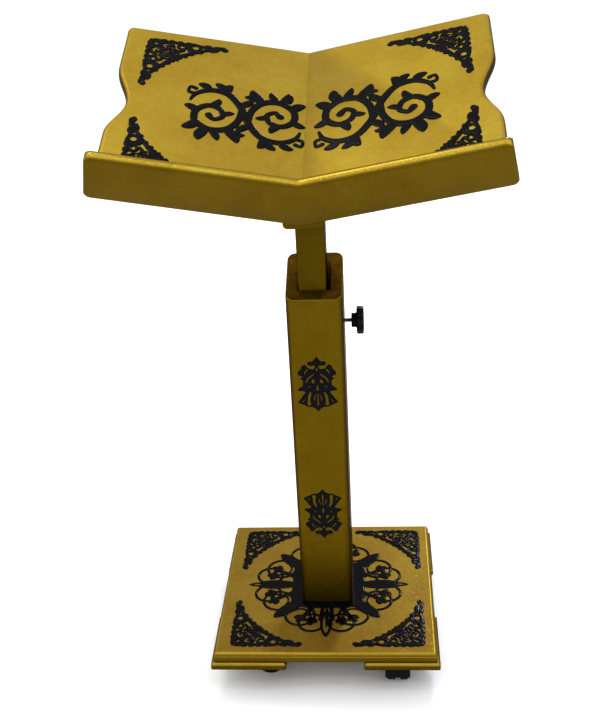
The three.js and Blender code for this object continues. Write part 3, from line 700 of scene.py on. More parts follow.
def medallion_lace():
    """The ornament round the column's foot, centred on the column."""
    lace = Relief(-134, 134, -134, 134, 0.75)
    quarter = [(60, 26), (55, 49), (48, 57), (20, 62)]
    lace.fill([*quarter, *[(-x, y) for x, y in reversed(quarter)], *[(-x, -y) for x, y in quarter],
               *[(x, -y) for x, y in reversed(quarter)]], smooth=False)
    for sector in range(8):
        leaf_angle = sector * 45
        on_axis = sector % 2 == 0
        tip = 132 if on_axis else 119
        if leaf_angle == 270:
            lace.leaf(polar(68, leaf_angle), polar(tip, leaf_angle), 20)
            lace.leaf(polar(78, leaf_angle), polar(tip - 9, leaf_angle), 11, sign=-1)
            lace.leaf(polar(60, leaf_angle), polar(112, leaf_angle), 5.5, fullest=0.3)
            for side in (-1, 1):
                lace.stroke([polar(54, leaf_angle + side * 5), polar(66, leaf_angle + side * 6.4),
                             polar(78, leaf_angle + side * 6.6), polar(92, leaf_angle + side * 7)],
                            [9, 6.4, 5, 4.4])
        else:
            solid = 119 if on_axis else tip
            lace.leaf(polar(46, leaf_angle), polar(solid, leaf_angle), 23 if on_axis else 22, fullest=0.62)
            if on_axis:
                lace.leaf(polar(92, leaf_angle), polar(tip, leaf_angle), 12, fullest=0.4)
                lace.leaf(polar(112, leaf_angle), polar(126, leaf_angle), 3.6, sign=-1)
        middle = leaf_angle + 22.5
        for side in (-1, 1):
            near_axis = (side < 0) == on_axis
            lean = side * (9.0 if near_axis else 5.5)
            centre = polar(101 if near_axis else 91, middle + lean)
            lace.stroke(circle(*centre, 20.4 if near_axis else 23.4), 4.6, closed=True)
            if not near_axis:
                # A shorter arc inside the ring, on the side of the column
                arc = circle(*centre, 16.4, middle + lean + 180 - side * 75, side * 110)
                lace.stroke(arc, [1.8] + [3.6] * (len(arc) - 3) + [2.6, 1.4])
            bud = middle + side * (8.2 if near_axis else 3.4)
            lace.stroke([polar(70, middle), polar(82, middle + side * 2), polar(92, bud)], [8, 4.4, 4.6])
            for turn, far in ((-3.4, 97), (0.0, 103), (3.4, 97)):
                lace.stroke([polar(93, bud + turn * 0.6), polar(far, bud + turn)], [8.4, 9.2])
        lace.stroke([polar(50, middle), polar(62, middle), polar(74, middle)], [24, 13, 7])
    return lace.skin(1.5, 1.8)


def palmette():
    """The column's ornament, centred at (0, 0), tip up."""
    lace = Relief(-30, 30, -46, 46, 0.5)
    right = [(4, -40.5), (9, -37.5), (15, -37), (22, -33.5), (29.3, -29.5), (25.5, -24), (22, -18.5),
             (18, -12.8), (22, -11), (28.8, -9.6), (27.2, -6.2), (22, -2.6), (21.3, 3), (22, 7.5),
             (25.4, 9), (22, 12), (23.6, 14), (27.6, 15.6), (28.2, 19.6), (25, 23.6), (23, 26),
             (22, 30), (18.5, 32), (15.4, 30.6), (13.4, 27.2), (9, 24.8), (4.4, 25), (2.8, 28.2),
             (4.2, 31), (8, 30.2), (12.2, 31), (13.8, 34.2), (11.4, 37.2), (7, 37), (4.6, 39),
             (2.2, 42)]
    left = [(-x, y) for x, y in reversed(right)]
    lace.fill([(0, -44.6), *right, (0, 44.6), *left])
    for side in (-1, 1):
        def mirrored(points):
            return [(side * x, y) for x, y in points]
        lace.carve(mirrored([(5, 16.5), (9.5, 12.5), (14, 8.5), (16.2, 3)]), [1.6, 2.2, 2.2, 1.6])
        lace.carve(mirrored([(13, 24.5), (16.4, 21.5), (18.6, 17)]), [1.2, 2, 1.2])
        lace.carve(mirrored([(5.6, 6.4), (6.6, 3.4)]), [3.2, 4])
        lace.carve(mirrored([(11, -3.8), (13.4, -4.4)]), [1.6, 1.6])
        lace.carve(mirrored([(10.5, -14), (12.4, -20), (13.4, -27), (13.4, -32.5)]), [2, 4.2, 3.6, 5.6])
        lace.carve(mirrored([(19.5, -25.5), (23, -29)]), [1.2, 1.6])
        lace.stroke(mirrored([(5, -14.5), (9, -20.5), (9.4, -27.5), (6.6, -33.5)]), [3.6, 3.6, 3.6, 3.4])
        lace.carve(mirrored([(2.9, -17.5), (5.2, -22.5), (5.2, -28)]), [1, 1.6, 1])
    lace.carve([(0, -2), (0, -9)], [1.4, 3])
    lace.carve([(0, -16), (0, -26), (0, -34)], [1.2, 1.6, 2.6])
    lace.carve([(0, 25), (0, 22.5)], [2.4, 1.8])
    return lace.skin(1.3, 1.2)


def vine_scroll():
    """The boards' large ornament: a wave of vine with two volutes, the same when turned half round."""
    lace = Relief(-86, 86, -70, 70, 0.75)
    for turn in (1, -1):
        def turned(points):
            return [(turn * x, turn * y) for x, y in points]

        def leaf(start, finish, width, bend=0.0):
            lace.leaf(*turned([start, finish]), width, bend)

        lace.stroke(turned([(0, 0), (-10, -24), (-28, -46), (-52, -50), (-72, -38), (-79, -22)]),
                    [11.5, 11.5, 11, 10, 8, 4.4])
        lace.stroke(turned([(-6, -14), (-9, 14), (-24, 36), (-48, 41), (-68, 26), (-69, 2), (-53, -13),
                            (-36, -8), (-31, 8), (-42, 17), (-50, 9)]),
                    [8, 10.6, 11.4, 11.4, 11, 10.6, 10, 9.4, 8.6, 8, 11.5])
        leaf((-27, 37), (-7, 63), 17, -0.14)
        leaf((-25, 36), (3, 44), 13, 0.16)
        leaf((-49, 41), (-60, 66), 17, 0.16)
        leaf((-46, 42), (-34, 63), 12, -0.1)
        leaf((-66, 24), (-85, 42), 16, -0.16)
        leaf((-68, 4), (-86, -8), 13, 0.15)
        leaf((-28, -45), (-22, -67), 15, -0.18)
        leaf((-31, -46), (-47, -67), 14, 0.16)
        leaf((-52, -50), (-71, -61), 13, 0.14)
        leaf((-11, -22), (9, -41), 13, 0.14)
        leaf((-52, -12), (-38, -31), 13, 0.16)
        leaf((-31, 7), (-15, -1), 10, -0.16)
        lace.stroke(turned([(-72, -38), (-83, -40), (-82, -52), (-74, -50)]), [6.4, 5.6, 5, 7.4])
    lace.leaf((-3, -13), (3, 13), 15)
    return lace.skin(1.5, 2.2)


def raise_ornament(name, skin, place, body, node_name):
    """A relief put where place(x, y, height) says, standing for one CAD node."""
    points, faces = skin
    moved = [place(x, y, height + PAPER_GAP) for x, y, height in points.tolist()]
    make_piece(name, moved, faces, "relief", body, [node_name], "black_relief", sharp=60)


def wing_point(side, across, along, out):
    """A point on the book rest: across from the valley, along it up the slope, and out of the board."""
    x = across * math.cos(VEE) - out * math.sin(VEE)
    rise = across * math.sin(VEE) + out * math.cos(VEE)
    return VALLEY + TILTED @ Vector((side * x, along, rise))


def valley_edge(out):
    """How far across a board its mitred inner edge lies, at a height out of the board."""
    return (SEAM + out * math.sin(VEE)) / math.cos(VEE)


# ---------------------------------------------------------------- properties
def colour_property(name, description, value):
    return FloatVectorProperty(name=name, description=description, subtype="COLOR", size=3, min=0, max=1,
                               default=linear(value))


def length_property(name, description, value):
    return FloatProperty(name=name, description=description, default=value * MM, min=0.0, subtype="DISTANCE",
                         unit="LENGTH", precision=4)


class StandColours(bpy.types.PropertyGroup):
    """Colours of the stand's paint."""
    # The top colour is painted light on upward faces; the side and column colours are painted shade on
    # upright faces.
    gold_top: colour_property("Gold, upward faces", "Bronze-gold paint where the spray fell straight on it",
                              "967F28")
    gold_side: colour_property("Gold, upright faces", "The same paint where it is thin, on upright faces",
                               "5E4B08")
    gold_upright: colour_property("Gold on the column", "The paint on the column and mast", "604D07")
    gold_shade: colour_property("Gold, cloudy tint", "Tint that clouds the paint", "DCC48C")


class StandSizes(bpy.types.PropertyGroup):
    """Sizes of the stand's eased edges and boards."""
    board_edge: length_property("Board edge", "Rounding of the boards' edges", 5.0)
    board_thickness: length_property("Board thickness", "Thickness of the boards", 16.0)
    column_edge: length_property("Column edge", "Rounding along the column's outer corners", 12.0)
    mouth_edge: length_property("Mouth edge", "Rounding of the column's upper end", 1.6)
    ledge_bead: length_property("Ledge bead", "Radius of the ledges' round top", 9.0)


# ---------------------------------------------------------------- operators
class PieceOperator(bpy.types.Operator):
    """Base of the operators that make pieces of the stand."""
    bl_options = {"REGISTER", "UNDO"}


class AddBase(PieceOperator):
    """Makes the moulded base board and its four corner blocks"""
    bl_idname = "stand.add_base"
    bl_label = "Base board and blocks"

    def execute(self, context):
        half = (BASE_HIGH.x - BASE_LOW.x) / 2
        bottom, top = BASE_LOW.z, BASE_TOP
        profile = [(3.0, bottom), (1.2, bottom), (0.35, bottom + 0.35), (0.0, bottom + 1.2), (0.0, top - 6.6)]
        profile += [(0.15, top - 6.1), (0.7, top - 5.7)]
        for step in range(9):
            angle = math.pi / 2 * step / 8
            profile.append((0.7 + 4.6 * (1 - math.cos(angle)), top - 5.3 + 5.3 * math.sin(angle)))
        profile += [(6.5, top), (30.0, top)]
        board = make_piece("moulded_base_board", *square_moulding(0, COLUMN_Y, half, profile, 2.2), "gold",
                           "stand", ["base_plate"])
        hole = [(0.4, bottom + 8), (2.6, bottom + 5.4), (5.3, bottom + 2.6), (5.3, bottom - 1)]
        for screw in COLUMN_SCREWS:
            low, high = box_mm(screw)
            centre = (low + high) / 2
            cut_away(board, *spun(hole, 20, lambda z, a, b: (centre.x + a, centre.y + b, z)))
        # The board's flat top gets the darker copy of the paint and its rounded edges the full one: painted
        # shade on the top.
        board.data.materials.append(finish_named("base gold"))
        for face in board.data.polygons:
            if face.normal.z > 0.999:
                face.material_index = 1
        half = (BLOCK_HIGH.x - BLOCK_LOW.x) / 2
        bottom, top = BLOCK_LOW.z, BLOCK_HIGH.z
        profile = [(3.4, bottom), (1.6, bottom), (0.5, bottom + 0.4), (0.0, bottom + 1.5),
                   (0.0, bottom + 7.9), (0.2, bottom + 8.5), (0.5, bottom + 9.0), (2.4, top - 0.6),
                   (2.9, top - 0.2), (3.6, top), (8.0, top)]
        for corner, *_ in CORNERS:
            low, high = box_mm(f"{corner}_corner_block")
            centre = (low + high) / 2
            # The blocks take the mast's darker paint: painted shade low on the base.
            make_piece(f"{corner}_sloped_block", *square_moulding(centre.x, centre.y, half, profile, 2.4),
                       "mast gold", "stand", [f"{corner}_corner_block"], "dark_gold_paint")
        return {"FINISHED"}


class AddCasters(PieceOperator):
    """Makes the four twin-wheel casters"""
    bl_idname = "stand.add_casters"
    bl_label = "Casters"

    AXLE_Z, TRAIL = 20.0, 21.0
    PLATE_HALF, PLATE_THICKNESS, SCREW_AT = 21.0, 2.5, 15.0

    def execute(self, context):
        for corner, _, _, heading in CORNERS:
            low, high = box_mm(f"{corner}_caster_plate")
            centre = (low + high) / 2
            turn = Matrix.Rotation(math.radians(heading), 3, "Z")

            def place(x, y, z, turn=turn, centre=centre):
                return turn @ Vector((x, y, z)) + Vector((centre.x, centre.y, 0))

            self.plate(corner, place, high.z)
            self.hood(corner, place)
            self.wheels(corner, place)
        return {"FINISHED"}

    def plate(self, corner, place, top):
        bottom, half = top - self.PLATE_THICKNESS, self.PLATE_HALF
        parts = [eased_bar(rectangle(-half, half, -half, half, 4), bottom, top, 0.5, place)]
        pin = [(2.6, bottom - 12), (3.1, bottom - 12), (3.5, bottom - 11.4), (3.5, bottom + 0.4),
               (3.0, bottom + 0.4)]
        parts.append(spun(pin, 24, lambda z, a, b: place(a, b, z)))
        race = [(6.7, bottom + 0.3), (6.7, bottom - 1.0), (7.1, bottom - 1.4), (8.6, bottom - 1.4),
                (9.4, bottom - 0.9), (9.6, bottom + 0.3)]
        parts.append(spun(race, 32, lambda z, a, b: place(a, b, z), joined=True))
        make_piece(f"{corner}_steel_top_plate", *merge(*parts), "zinc", "stand", [f"{corner}_caster_plate"],
                   "zinc_steel")
        head = [(1.0, bottom - 1.9), (1.9, bottom - 1.85), (2.8, bottom - 1.45), (3.4, bottom - 0.7),
                (3.5, bottom + 0.2), (1.0, bottom + 0.2)]
        spots = [(x, y) for x in (-self.SCREW_AT, self.SCREW_AT) for y in (-self.SCREW_AT, self.SCREW_AT)]
        heads = [spun(head, 20, lambda z, a, b: place(x + a, y + b, z)) for x, y in spots]
        screws = make_piece(f"{corner}_plate_screws", *merge(*heads), "zinc", "stand", [], "zinc_steel")
        for x, y in spots:
            cut_cross(screws, x, y, bottom - 3, bottom - 0.9, 2.2, 0.5, place)

    def hood(self, corner, place):
        half, outer, inner, web = 19.2, 24.0, 20.8, 3.3
        section = rounded([(web, 6.0, 0), (web, inner, 0.8), (half, inner, 0.6), (half, outer, 2.2),
                           (-half, outer, 2.2), (-half, inner, 0.6), (-web, inner, 0.8), (-web, 6.0, 0)], 4)
        rings = []
        for step in range(33):
            angle = math.radians(-4 + 188 * step / 32)
            across, up = math.cos(angle), math.sin(angle)
            rings.append([place(self.TRAIL + radius * across, y, self.AXLE_Z + radius * up)
                          for y, radius in section])
        hub = [(3.4, -web), (8.2, -web), (9.0, -web + 0.8), (9.0, web - 0.8), (8.2, web), (3.4, web)]
        boss = [(3.9, 33.0), (5.2, 33.0), (6.0, 34.0), (6.0, 46.0), (5.4, 46.8), (3.9, 46.8)]
        parts = [
            loft(rings),
            spun(hub, 28, lambda y, a, b: place(self.TRAIL + a, y, self.AXLE_Z + b), joined=True),
            spun(boss, 28, lambda z, a, b: place(a, b, z), joined=True),
        ]
        make_piece(f"{corner}_hooded_fork", *merge(*parts), "plastic", f"{corner}_caster",
                   [f"{corner}_caster_hood"], "black_plastic")
        axle = [(1.6, -15.8), (2.5, -15.8), (3.0, -15.2), (3.0, 15.2), (2.5, 15.8), (1.6, 15.8)]
        make_piece(f"{corner}_axle_pin",
                   *spun(axle, 20, lambda y, a, b: place(self.TRAIL + a, y, self.AXLE_Z + b)), "zinc",
                   f"{corner}_caster", [f"{corner}_caster_axle"], "zinc_steel")

    def wheels(self, corner, place):
        # From the bore out over the inner face, tread and outer face to the cap
        profile = [(1.0, 11.9), (3.3, 11.9), (3.3, 0.0), (8.0, 0.0), (8.4, 0.9), (16.6, 0.9), (17.0, 0.0),
                   (18.4, 0.0), (19.4, 0.4), (20.0, 1.4), (20.0, 4.6), (19.6, 5.0), (19.6, 5.5), (20.0, 5.9),
                   (20.0, 9.4), (19.4, 11.0), (18.2, 12.3), (16.8, 13.0), (16.0, 13.0), (15.6, 12.2),
                   (14.8, 12.0), (14.2, 12.4), (13.4, 13.6), (10.0, 14.1), (6.6, 14.35), (6.2, 13.7),
                   (5.4, 13.6), (5.0, 14.3), (3.0, 14.5), (1.0, 14.5)]
        for suffix, side in (("a", -1), ("b", 1)):
            points, faces = spun(profile, 56, lambda y, a, b: place(self.TRAIL + a, side * (3.9 + y),
                                                                    self.AXLE_Z + b))
            make_piece(f"{corner}_tread_wheel_{suffix}", points, faces, "tread", f"{corner}_wheel_{suffix}",
                       [f"{corner}_caster_wheel_{suffix}"], "black_plastic", sharp=50)


class AddColumn(PieceOperator):
    """Makes the painted box column, its joints filled, with its slanted open mouth"""
    bl_idname = "stand.add_column"
    bl_label = "Column"

    def execute(self, context):
        edge = context.scene.stand_sizes.column_edge / MM
        ease = context.scene.stand_sizes.mouth_edge / MM
        panels = {name: box_mm(f"column_{name}_panel") for name in ("front", "rear", "left", "right")}
        front_y, rear_y = panels["front"][1].y, panels["rear"][1].y
        bottom = panels["front"][0].z
        mouth_front, mouth_rear = panels["front"][1].z, panels["rear"][1].z
        slope = (mouth_rear - mouth_front) / (rear_y - front_y)

        def mouth(x, y, drop=0.0):
            return (x, y, mouth_front + (y - front_y) * slope - drop)

        outer = rectangle(COLUMN_LOW.x, COLUMN_HIGH.x, COLUMN_LOW.y, rear_y, edge, 10)
        bore = rectangle(panels["left"][1].x, panels["right"][0].x, front_y, panels["rear"][0].y, 0.6, 10)
        rings = [[(x, y, bottom + 0.6) for x, y in outer(0.0)]]
        arc = eased_levels(ease, 6)[1:]
        rings += [[mouth(x, y, drop) for x, y in outer(inset)] for inset, drop in reversed(arc)]
        rings += [[mouth(x, y) for x, y in outer(ease + 1.0)]]
        rings += [[mouth(x, y) for x, y in bore(-2.0)]]
        rings += [[mouth(x, y, drop) for x, y in bore(inset)]
                  for inset, drop in ((-0.8, 0.15), (-0.3, 0.5), (0.0, 1.1))]
        rings += [[(x, y, bottom) for x, y in bore(0.0)]]
        rings += [[(x, y, bottom) for x, y in outer(0.6)]]
        column = make_piece("painted_box_column", *loft(rings, joined=True), "column gold", "stand",
                            [f"column_{name}_panel" for name in panels], "dark_gold_paint", sharp=50)
        insert_hole = [(5.3, 20.0), (5.3, 45.0)]
        cut_away(column, *spun(insert_hole, 28, lambda x, a, b: (x, COLUMN_Y + a, CLAMP_Z + b)))
        # The mouth's upward faces get the dark brown paint: painted shade under the book rest.
        column.data.materials.append(finish_named("end grain"))
        for face in column.data.polygons:
            if face.normal.z > 0.8 and face.center.z > mouth_front * MM * 0.8:
                face.material_index = 1
        return {"FINISHED"}


class AddColumnScrews(PieceOperator):
    """Makes the four countersunk screws up through the base board into the column"""
    bl_idname = "stand.add_column_screws"
    bl_label = "Column screws"

    def execute(self, context):
        turns = 30
        for node_name in COLUMN_SCREWS:
            low, high = box_mm(node_name)
            centre = (low + high) / 2
            profile = [(1.0, low.z), (4.3, low.z), (4.8, low.z + 0.3), (4.6, low.z + 0.9), (2.5, low.z + 4.2),
                       (2.0, low.z + 6.0)]
            for step in range(turns):
                base = low.z + 7 + step * (high.z - low.z - 11) / turns
                profile += [(1.7, base), (2.4, base + 0.55), (1.7, base + 1.0)]
            profile += [(1.5, high.z - 3.2), (0.3, high.z)]
            shape = spun(profile, 20, lambda z, a, b: (centre.x + a, centre.y + b, z))
            screw = make_piece(f"countersunk_{node_name}", *shape, "zinc", "stand", [node_name], "zinc_steel")
            cut_cross(screw, centre.x, centre.y, low.z - 1, low.z + 1.8, 3.0, 0.6)
        return {"FINISHED"}


class AddClamp(PieceOperator):
    """Makes the clamp: brass insert, threaded stud and star knob"""
    bl_idname = "stand.add_clamp"
    bl_label = "Clamp"

    LOBES = 7

    def execute(self, context):
        def along_x(x, a, b):
            return (x, COLUMN_Y + a, CLAMP_Z + b)

        low, high = box_mm("clamp_insert")
        ring = [(3.3, low.x), (4.4, low.x), (4.8, low.x + 0.5)]
        for step in range(9):
            base = low.x + 1.2 + step * 1.5
            ring += [(4.5, base), (4.95, base + 0.5), (4.5, base + 1.0)]
        ring += [(4.9, high.x - 0.9), (4.9, high.x - 0.2), (4.6, high.x), (3.7, high.x), (3.3, high.x - 0.5)]
        make_piece("threaded_brass_insert", *spun(ring, 36, along_x, joined=True), "brass", "stand",
                   ["clamp_insert"], "brass")
        self.stud(along_x)
        self.knob(along_x)
        return {"FINISHED"}

    def stud(self, place):
        """A metric thread: the ridge winds along the stud once each millimetre."""
        pitch, root, crest, steps, rows = 1.0, 2.6, 3.0, 24, 8
        start, finish = STUD_LOW.x, STUD_HIGH.x
        rings = []
        levels = int((finish - start) / pitch * rows)
        for level in range(levels + 1):
            x = start + (finish - start) * level / levels
            chamfer = min(1.0, (x - start) / 1.2, (finish - x) / 1.2)
            ring = []
            for step in range(steps):
                angle = 2 * math.pi * step / steps
                phase = (x / pitch - step / steps) % 1.0
                ridge = 1 - abs(2 * phase - 1)
                radius = root - 0.6 * (1 - chamfer) + (crest - root) * min(1.0, ridge * 1.4) * chamfer
                ring.append(place(x, radius * math.cos(angle), radius * math.sin(angle)))
            rings.append(ring)
        make_piece("threaded_clamp_stud", *loft(rings), "dull steel", "clamp_stud", ["clamp_stud"],
                   "zinc_steel", sharp=60)

    def knob(self, place):
        low, high = box_mm("clamp_knob")
        start, finish = low.x, high.x
        flange = start + 7.6
        lobed_top = 21.0

        def radius_at(radius, angle, entry):
            lobed = entry[2]
            hollow = 0.5 - 0.5 * math.cos(self.LOBES * angle)
            return radius - lobed * 3.2 * hollow ** 1.4

        profile = [(1.0, start + 14, 0), (3.4, start + 14, 0), (3.4, start + 0.5, 0), (3.9, start, 0),
                   (9.4, start, 0), (10.3, start + 0.4, 0), (10.75, start + 1.4, 0), (10.75, flange - 1.6, 0),
                   (11.2, flange - 0.6, 0), (12.4, flange, 0.1), (lobed_top - 2.4, flange, 0.9),
                   (lobed_top - 0.8, flange + 0.5, 1), (lobed_top - 0.15, flange + 1.4, 1),
                   (lobed_top, flange + 2.6, 1), (lobed_top, finish - 3.0, 1),
                   (lobed_top - 0.3, finish - 1.6, 1), (lobed_top - 1.2, finish - 0.6, 1),
                   (lobed_top - 2.6, finish, 1), (lobed_top - 4.4, finish, 0.9),
                   (13.4, finish - 0.1, 0.2), (12.2, finish - 1.1, 0), (7.6, finish - 1.1, 0),
                   (7.0, finish - 0.5, 0), (6.2, finish - 0.3, 0), (1.0, finish - 0.3, 0)]
        make_piece("star_knob", *spun(profile, 126, place, radius_at=radius_at), "plastic", "clamp_knob",
                   ["clamp_knob"], "black_plastic", sharp=45)


class AddMast(PieceOperator):
    """Makes the sliding mast and the spine block under the valley"""
    bl_idname = "stand.add_mast"
    bl_label = "Mast and spine"

    def execute(self, context):
        low, high = box_mm("mast")
        outline = rectangle(low.x, high.x, low.y, high.y, 2.6)
        slope = math.tan(TILT)

        def slanted(point):
            return high.z - (high.y - point[1]) * slope

        # The mast's darker paint is painted shade under the book rest.
        make_piece("sliding_mast", *eased_bar(outline, low.z, slanted, 1.0, lambda x, y, z: (x, y, z)),
                   "mast gold", "lectern", ["mast"], "dark_gold_paint", sharp=50)
        half, drop, start, finish = 26.0, 45.0, 2.0, 292.0
        underside, gap = -16.0, 0.3     # the boards' underside, and the glue line below it
        under_edge = wing_point(1, valley_edge(underside) + half + 0.6, 0, underside - gap)
        under_valley = wing_point(1, valley_edge(underside), 0, underside - gap)
        local = [TILTED.transposed() @ (point - VALLEY) for point in (under_edge, under_valley)]
        edge_height, valley_height = local[0].z, local[1].z
        corners = [(0, valley_height, 0.8), (-half, edge_height, 0.8), (-half, -drop, 6.5),
                   (half, -drop, 6.5), (half, edge_height, 0.8)]
        bar = eased_bar(lambda inset: rounded(corners, 6, inset), start, finish, 1.6,
                        lambda x, z, y: VALLEY + TILTED @ Vector((x, y, z)))
        # The spine block takes the same darker paint: painted shade under the valley.
        make_piece("eased_spine_block", *bar, "mast gold", "lectern", ["spine_block"], "dark_gold_paint",
                   sharp=50)
        return {"FINISHED"}


class AddBoards(PieceOperator):
    """Makes the two boards of the book rest"""
    bl_idname = "stand.add_boards"
    bl_label = "Boards"

    WIDTH, DEPTH, CORNER = 255.0, 330.0, 9.0
    HOLLOW, HOLLOW_AT, REACH_REAR, REACH_FRONT = 19.5, 155.0, 80.0, 68.0

    def edge(self, along):
        """How far out the board's outer edge lies."""
        reach = self.REACH_REAR if along > self.HOLLOW_AT else self.REACH_FRONT
        share = min(abs(along - self.HOLLOW_AT) / reach, 1.0)
        return self.WIDTH - self.HOLLOW * (0.5 + 0.5 * math.cos(math.pi * share))

    def execute(self, context):
        thickness = context.scene.stand_sizes.board_thickness / MM
        ease = context.scene.stand_sizes.board_edge / MM
        front_corner = 8.0
        outline = [(0.0, 0.0), (40.0, 0.0)]
        outline += [(self.WIDTH - front_corner * (1 - math.sin(angle)), front_corner * (1 - math.cos(angle)))
                    for angle in (math.pi / 2 * at / 8 for at in range(9))]
        first, last = self.HOLLOW_AT - self.REACH_FRONT, self.HOLLOW_AT + self.REACH_REAR
        outline += [(self.edge(first + (last - first) * at / 48), first + (last - first) * at / 48)
                    for at in range(49)]
        centre = (self.WIDTH - self.CORNER, self.DEPTH - self.CORNER)
        outline += [(centre[0] + self.CORNER * math.cos(angle), centre[1] + self.CORNER * math.sin(angle))
                    for angle in (math.pi / 2 * at / 8 for at in range(9))]
        outline += [(40.0, self.DEPTH), (0.0, self.DEPTH)]
        for name, side in SIDES:
            def place(across, along, out, side=side):
                if across < 0.01:
                    across = valley_edge(out)
                return wing_point(side, across, along, out)

            bar = eased_bar(lambda inset: offset(outline, inset, hold=lambda point: point[0] < 0.01),
                            -thickness, 0.0, ease, place)
            make_piece(f"{name}_rest_board", *bar, "gold", "lectern", [f"{name}_board"], sharp=50)
        return {"FINISHED"}


class AddLedges(PieceOperator):
    """Makes the two book ledges with their round tops"""
    bl_idname = "stand.add_ledges"
    bl_label = "Ledges"

    LENGTH, DROP, RISE, BACK, FRONT, CORNER = 262.0, 21.5, 41.0, -0.3, -18.3, 9.0
    END_MIDDLE, END_HALF_DEPTH, END_HALF_HEIGHT = 10.0, 9.0, 31.0    # what the end is eased towards

    def execute(self, context):
        bead = context.scene.stand_sizes.ledge_bead / MM
        middle = (self.BACK + self.FRONT) / 2
        round_start = self.RISE - bead
        section = [(self.BACK, -self.DROP + 1.5), (self.BACK, round_start)]
        for step in range(1, 20):
            angle = math.pi * step / 20
            section.append((middle + bead * math.cos(angle), round_start + bead * math.sin(angle)))
        section += [(self.FRONT, round_start), (self.FRONT, -self.DROP + 2.0),
                    (self.FRONT + 0.6, -self.DROP + 0.6), (self.FRONT + 2.0, -self.DROP),
                    (self.BACK - 1.5, -self.DROP), (self.BACK - 0.4, -self.DROP + 0.4)]
        stations = [(None, 0.0), (200.0, 0.0)]
        stations += [(self.LENGTH - self.CORNER + self.CORNER * math.sin(angle) * 0.985, 0.0)
                     for angle in (math.pi / 2 * at / 8 for at in range(8))]
        ease = 2.2
        stations += [(self.LENGTH - ease * (1 - math.sin(angle)), ease * (1 - math.cos(angle)))
                     for angle in (math.pi / 2 * at / 4 for at in range(1, 5))]
        stations.append((self.LENGTH, ease + 1.2))
        for name, side in SIDES:
            rings = []
            for across, inset in stations:
                ring = []
                for along, out in section:
                    # The end is eased by drawing the section in towards its middle
                    along += (middle - along) * inset / self.END_HALF_DEPTH
                    out += (self.END_MIDDLE - out) * inset / self.END_HALF_HEIGHT
                    if across is None:
                        ring.append(wing_point(side, valley_edge(out), along, out))
                        continue
                    over = max(0.0, across - (self.LENGTH - self.CORNER))
                    lift = self.CORNER - math.sqrt(max(0.0, self.CORNER ** 2 - over ** 2))
                    low = min(1.0, max(0.0, (out + self.DROP) / self.CORNER))
                    high = min(1.0, max(0.0, (out - self.RISE + bead) / bead))
                    ring.append(wing_point(side, across, along, out + lift * (1 - low) - 0.7 * lift * high))
                rings.append(ring)
            make_piece(f"{name}_beaded_ledge", *loft(rings), "ledge gold", "lectern", [f"{name}_ledge"],
                       sharp=50)
        return {"FINISHED"}


class AddBaseOrnaments(PieceOperator):
    """Makes the raised medallion and corner ornaments on the base"""
    bl_idname = "stand.add_base_ornaments"
    bl_label = "Base ornaments"

    LEFT_SHIFT = 6.0            # the left pair was glued on a little further in, mm

    def execute(self, context):
        def on_base(x, y, z):
            return (x, COLUMN_Y + y, BASE_TOP + z)

        raise_ornament("raised_medallion", medallion_lace(), on_base, "stand", "medallion")
        lace = corner_lace()
        for corner, x_side, y_side, _ in CORNERS:
            name = f"base_ornament_{corner}"
            low, high = box_mm(name)
            start = (low.x + self.LEFT_SHIFT if x_side < 0 else high.x, low.y if y_side < 0 else high.y)

            def place(x, y, z):
                return (start[0] - x_side * x, start[1] - y_side * y, BASE_TOP + z)

            raise_ornament(f"raised_{name}", lace, place, "stand", name)
        return {"FINISHED"}


class AddColumnOrnaments(PieceOperator):
    """Makes the two raised palmettes on the column"""
    bl_idname = "stand.add_column_ornaments"
    bl_label = "Column palmettes"

    def execute(self, context):
        shape = palmette()
        for name, up in (("upper", 1), ("lower", -1)):
            node_name = f"column_ornament_{name}"
            low, high = box_mm(node_name)
            centre = (low + high) / 2

            def place(x, y, z):
                return (centre.x + x, COLUMN_LOW.y - z, centre.z + up * y)

            raise_ornament(f"raised_{node_name}", shape, place, "stand", node_name)
        return {"FINISHED"}


class AddBoardOrnaments(PieceOperator):
    """Makes the raised corner ornaments and vine scrolls on the boards"""
    bl_idname = "stand.add_board_ornaments"
    bl_label = "Board ornaments"

    SIDE_LINE, REAR_LINE, FRONT_LINE = 227.0, 309.0, 10.0
    SCROLL_AT = {"left": (80.0, 158.0, 0.93), "right": (96.0, 156.0, 0.97)}

    def execute(self, context):
        lace = corner_lace()
        scroll = vine_scroll()
        for name, side in SIDES:
            for end, line, towards in (("rear", self.REAR_LINE, -1), ("front", self.FRONT_LINE, 1)):
                def place(x, y, z):
                    return wing_point(side, self.SIDE_LINE - x, line + towards * y, z)

                node_name = f"board_ornament_{end}_{name}"
                raise_ornament(f"raised_{node_name}", lace, place, "lectern", node_name)
            across, along, scale = self.SCROLL_AT[name]

            def place_scroll(x, y, z):
                return wing_point(side, across + scale * x, along + scale * y, z)

            raise_ornament(f"raised_{name}_vine_scroll", scroll, place_scroll, "lectern",
                           f"{name}_scroll_ornament")
        return {"FINISHED"}


class FinishHiddenParts(PieceOperator):
    """Gives the enclosed foot block and screws their finishes"""
    bl_idname = "stand.finish_hidden_parts"
    bl_label = "Enclosed parts"

    def execute(self, context):
        for name, kind in (("column_foot_block", "wood"), ("mast_screw_front", "zinc"),
                           ("mast_screw_rear", "zinc")):
            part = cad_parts[name]
            if not part.material_slots:
                part.data.materials.append(finish_named(kind))
            for slot in part.material_slots:
                slot.material = finish_named(kind)
        return {"FINISHED"}


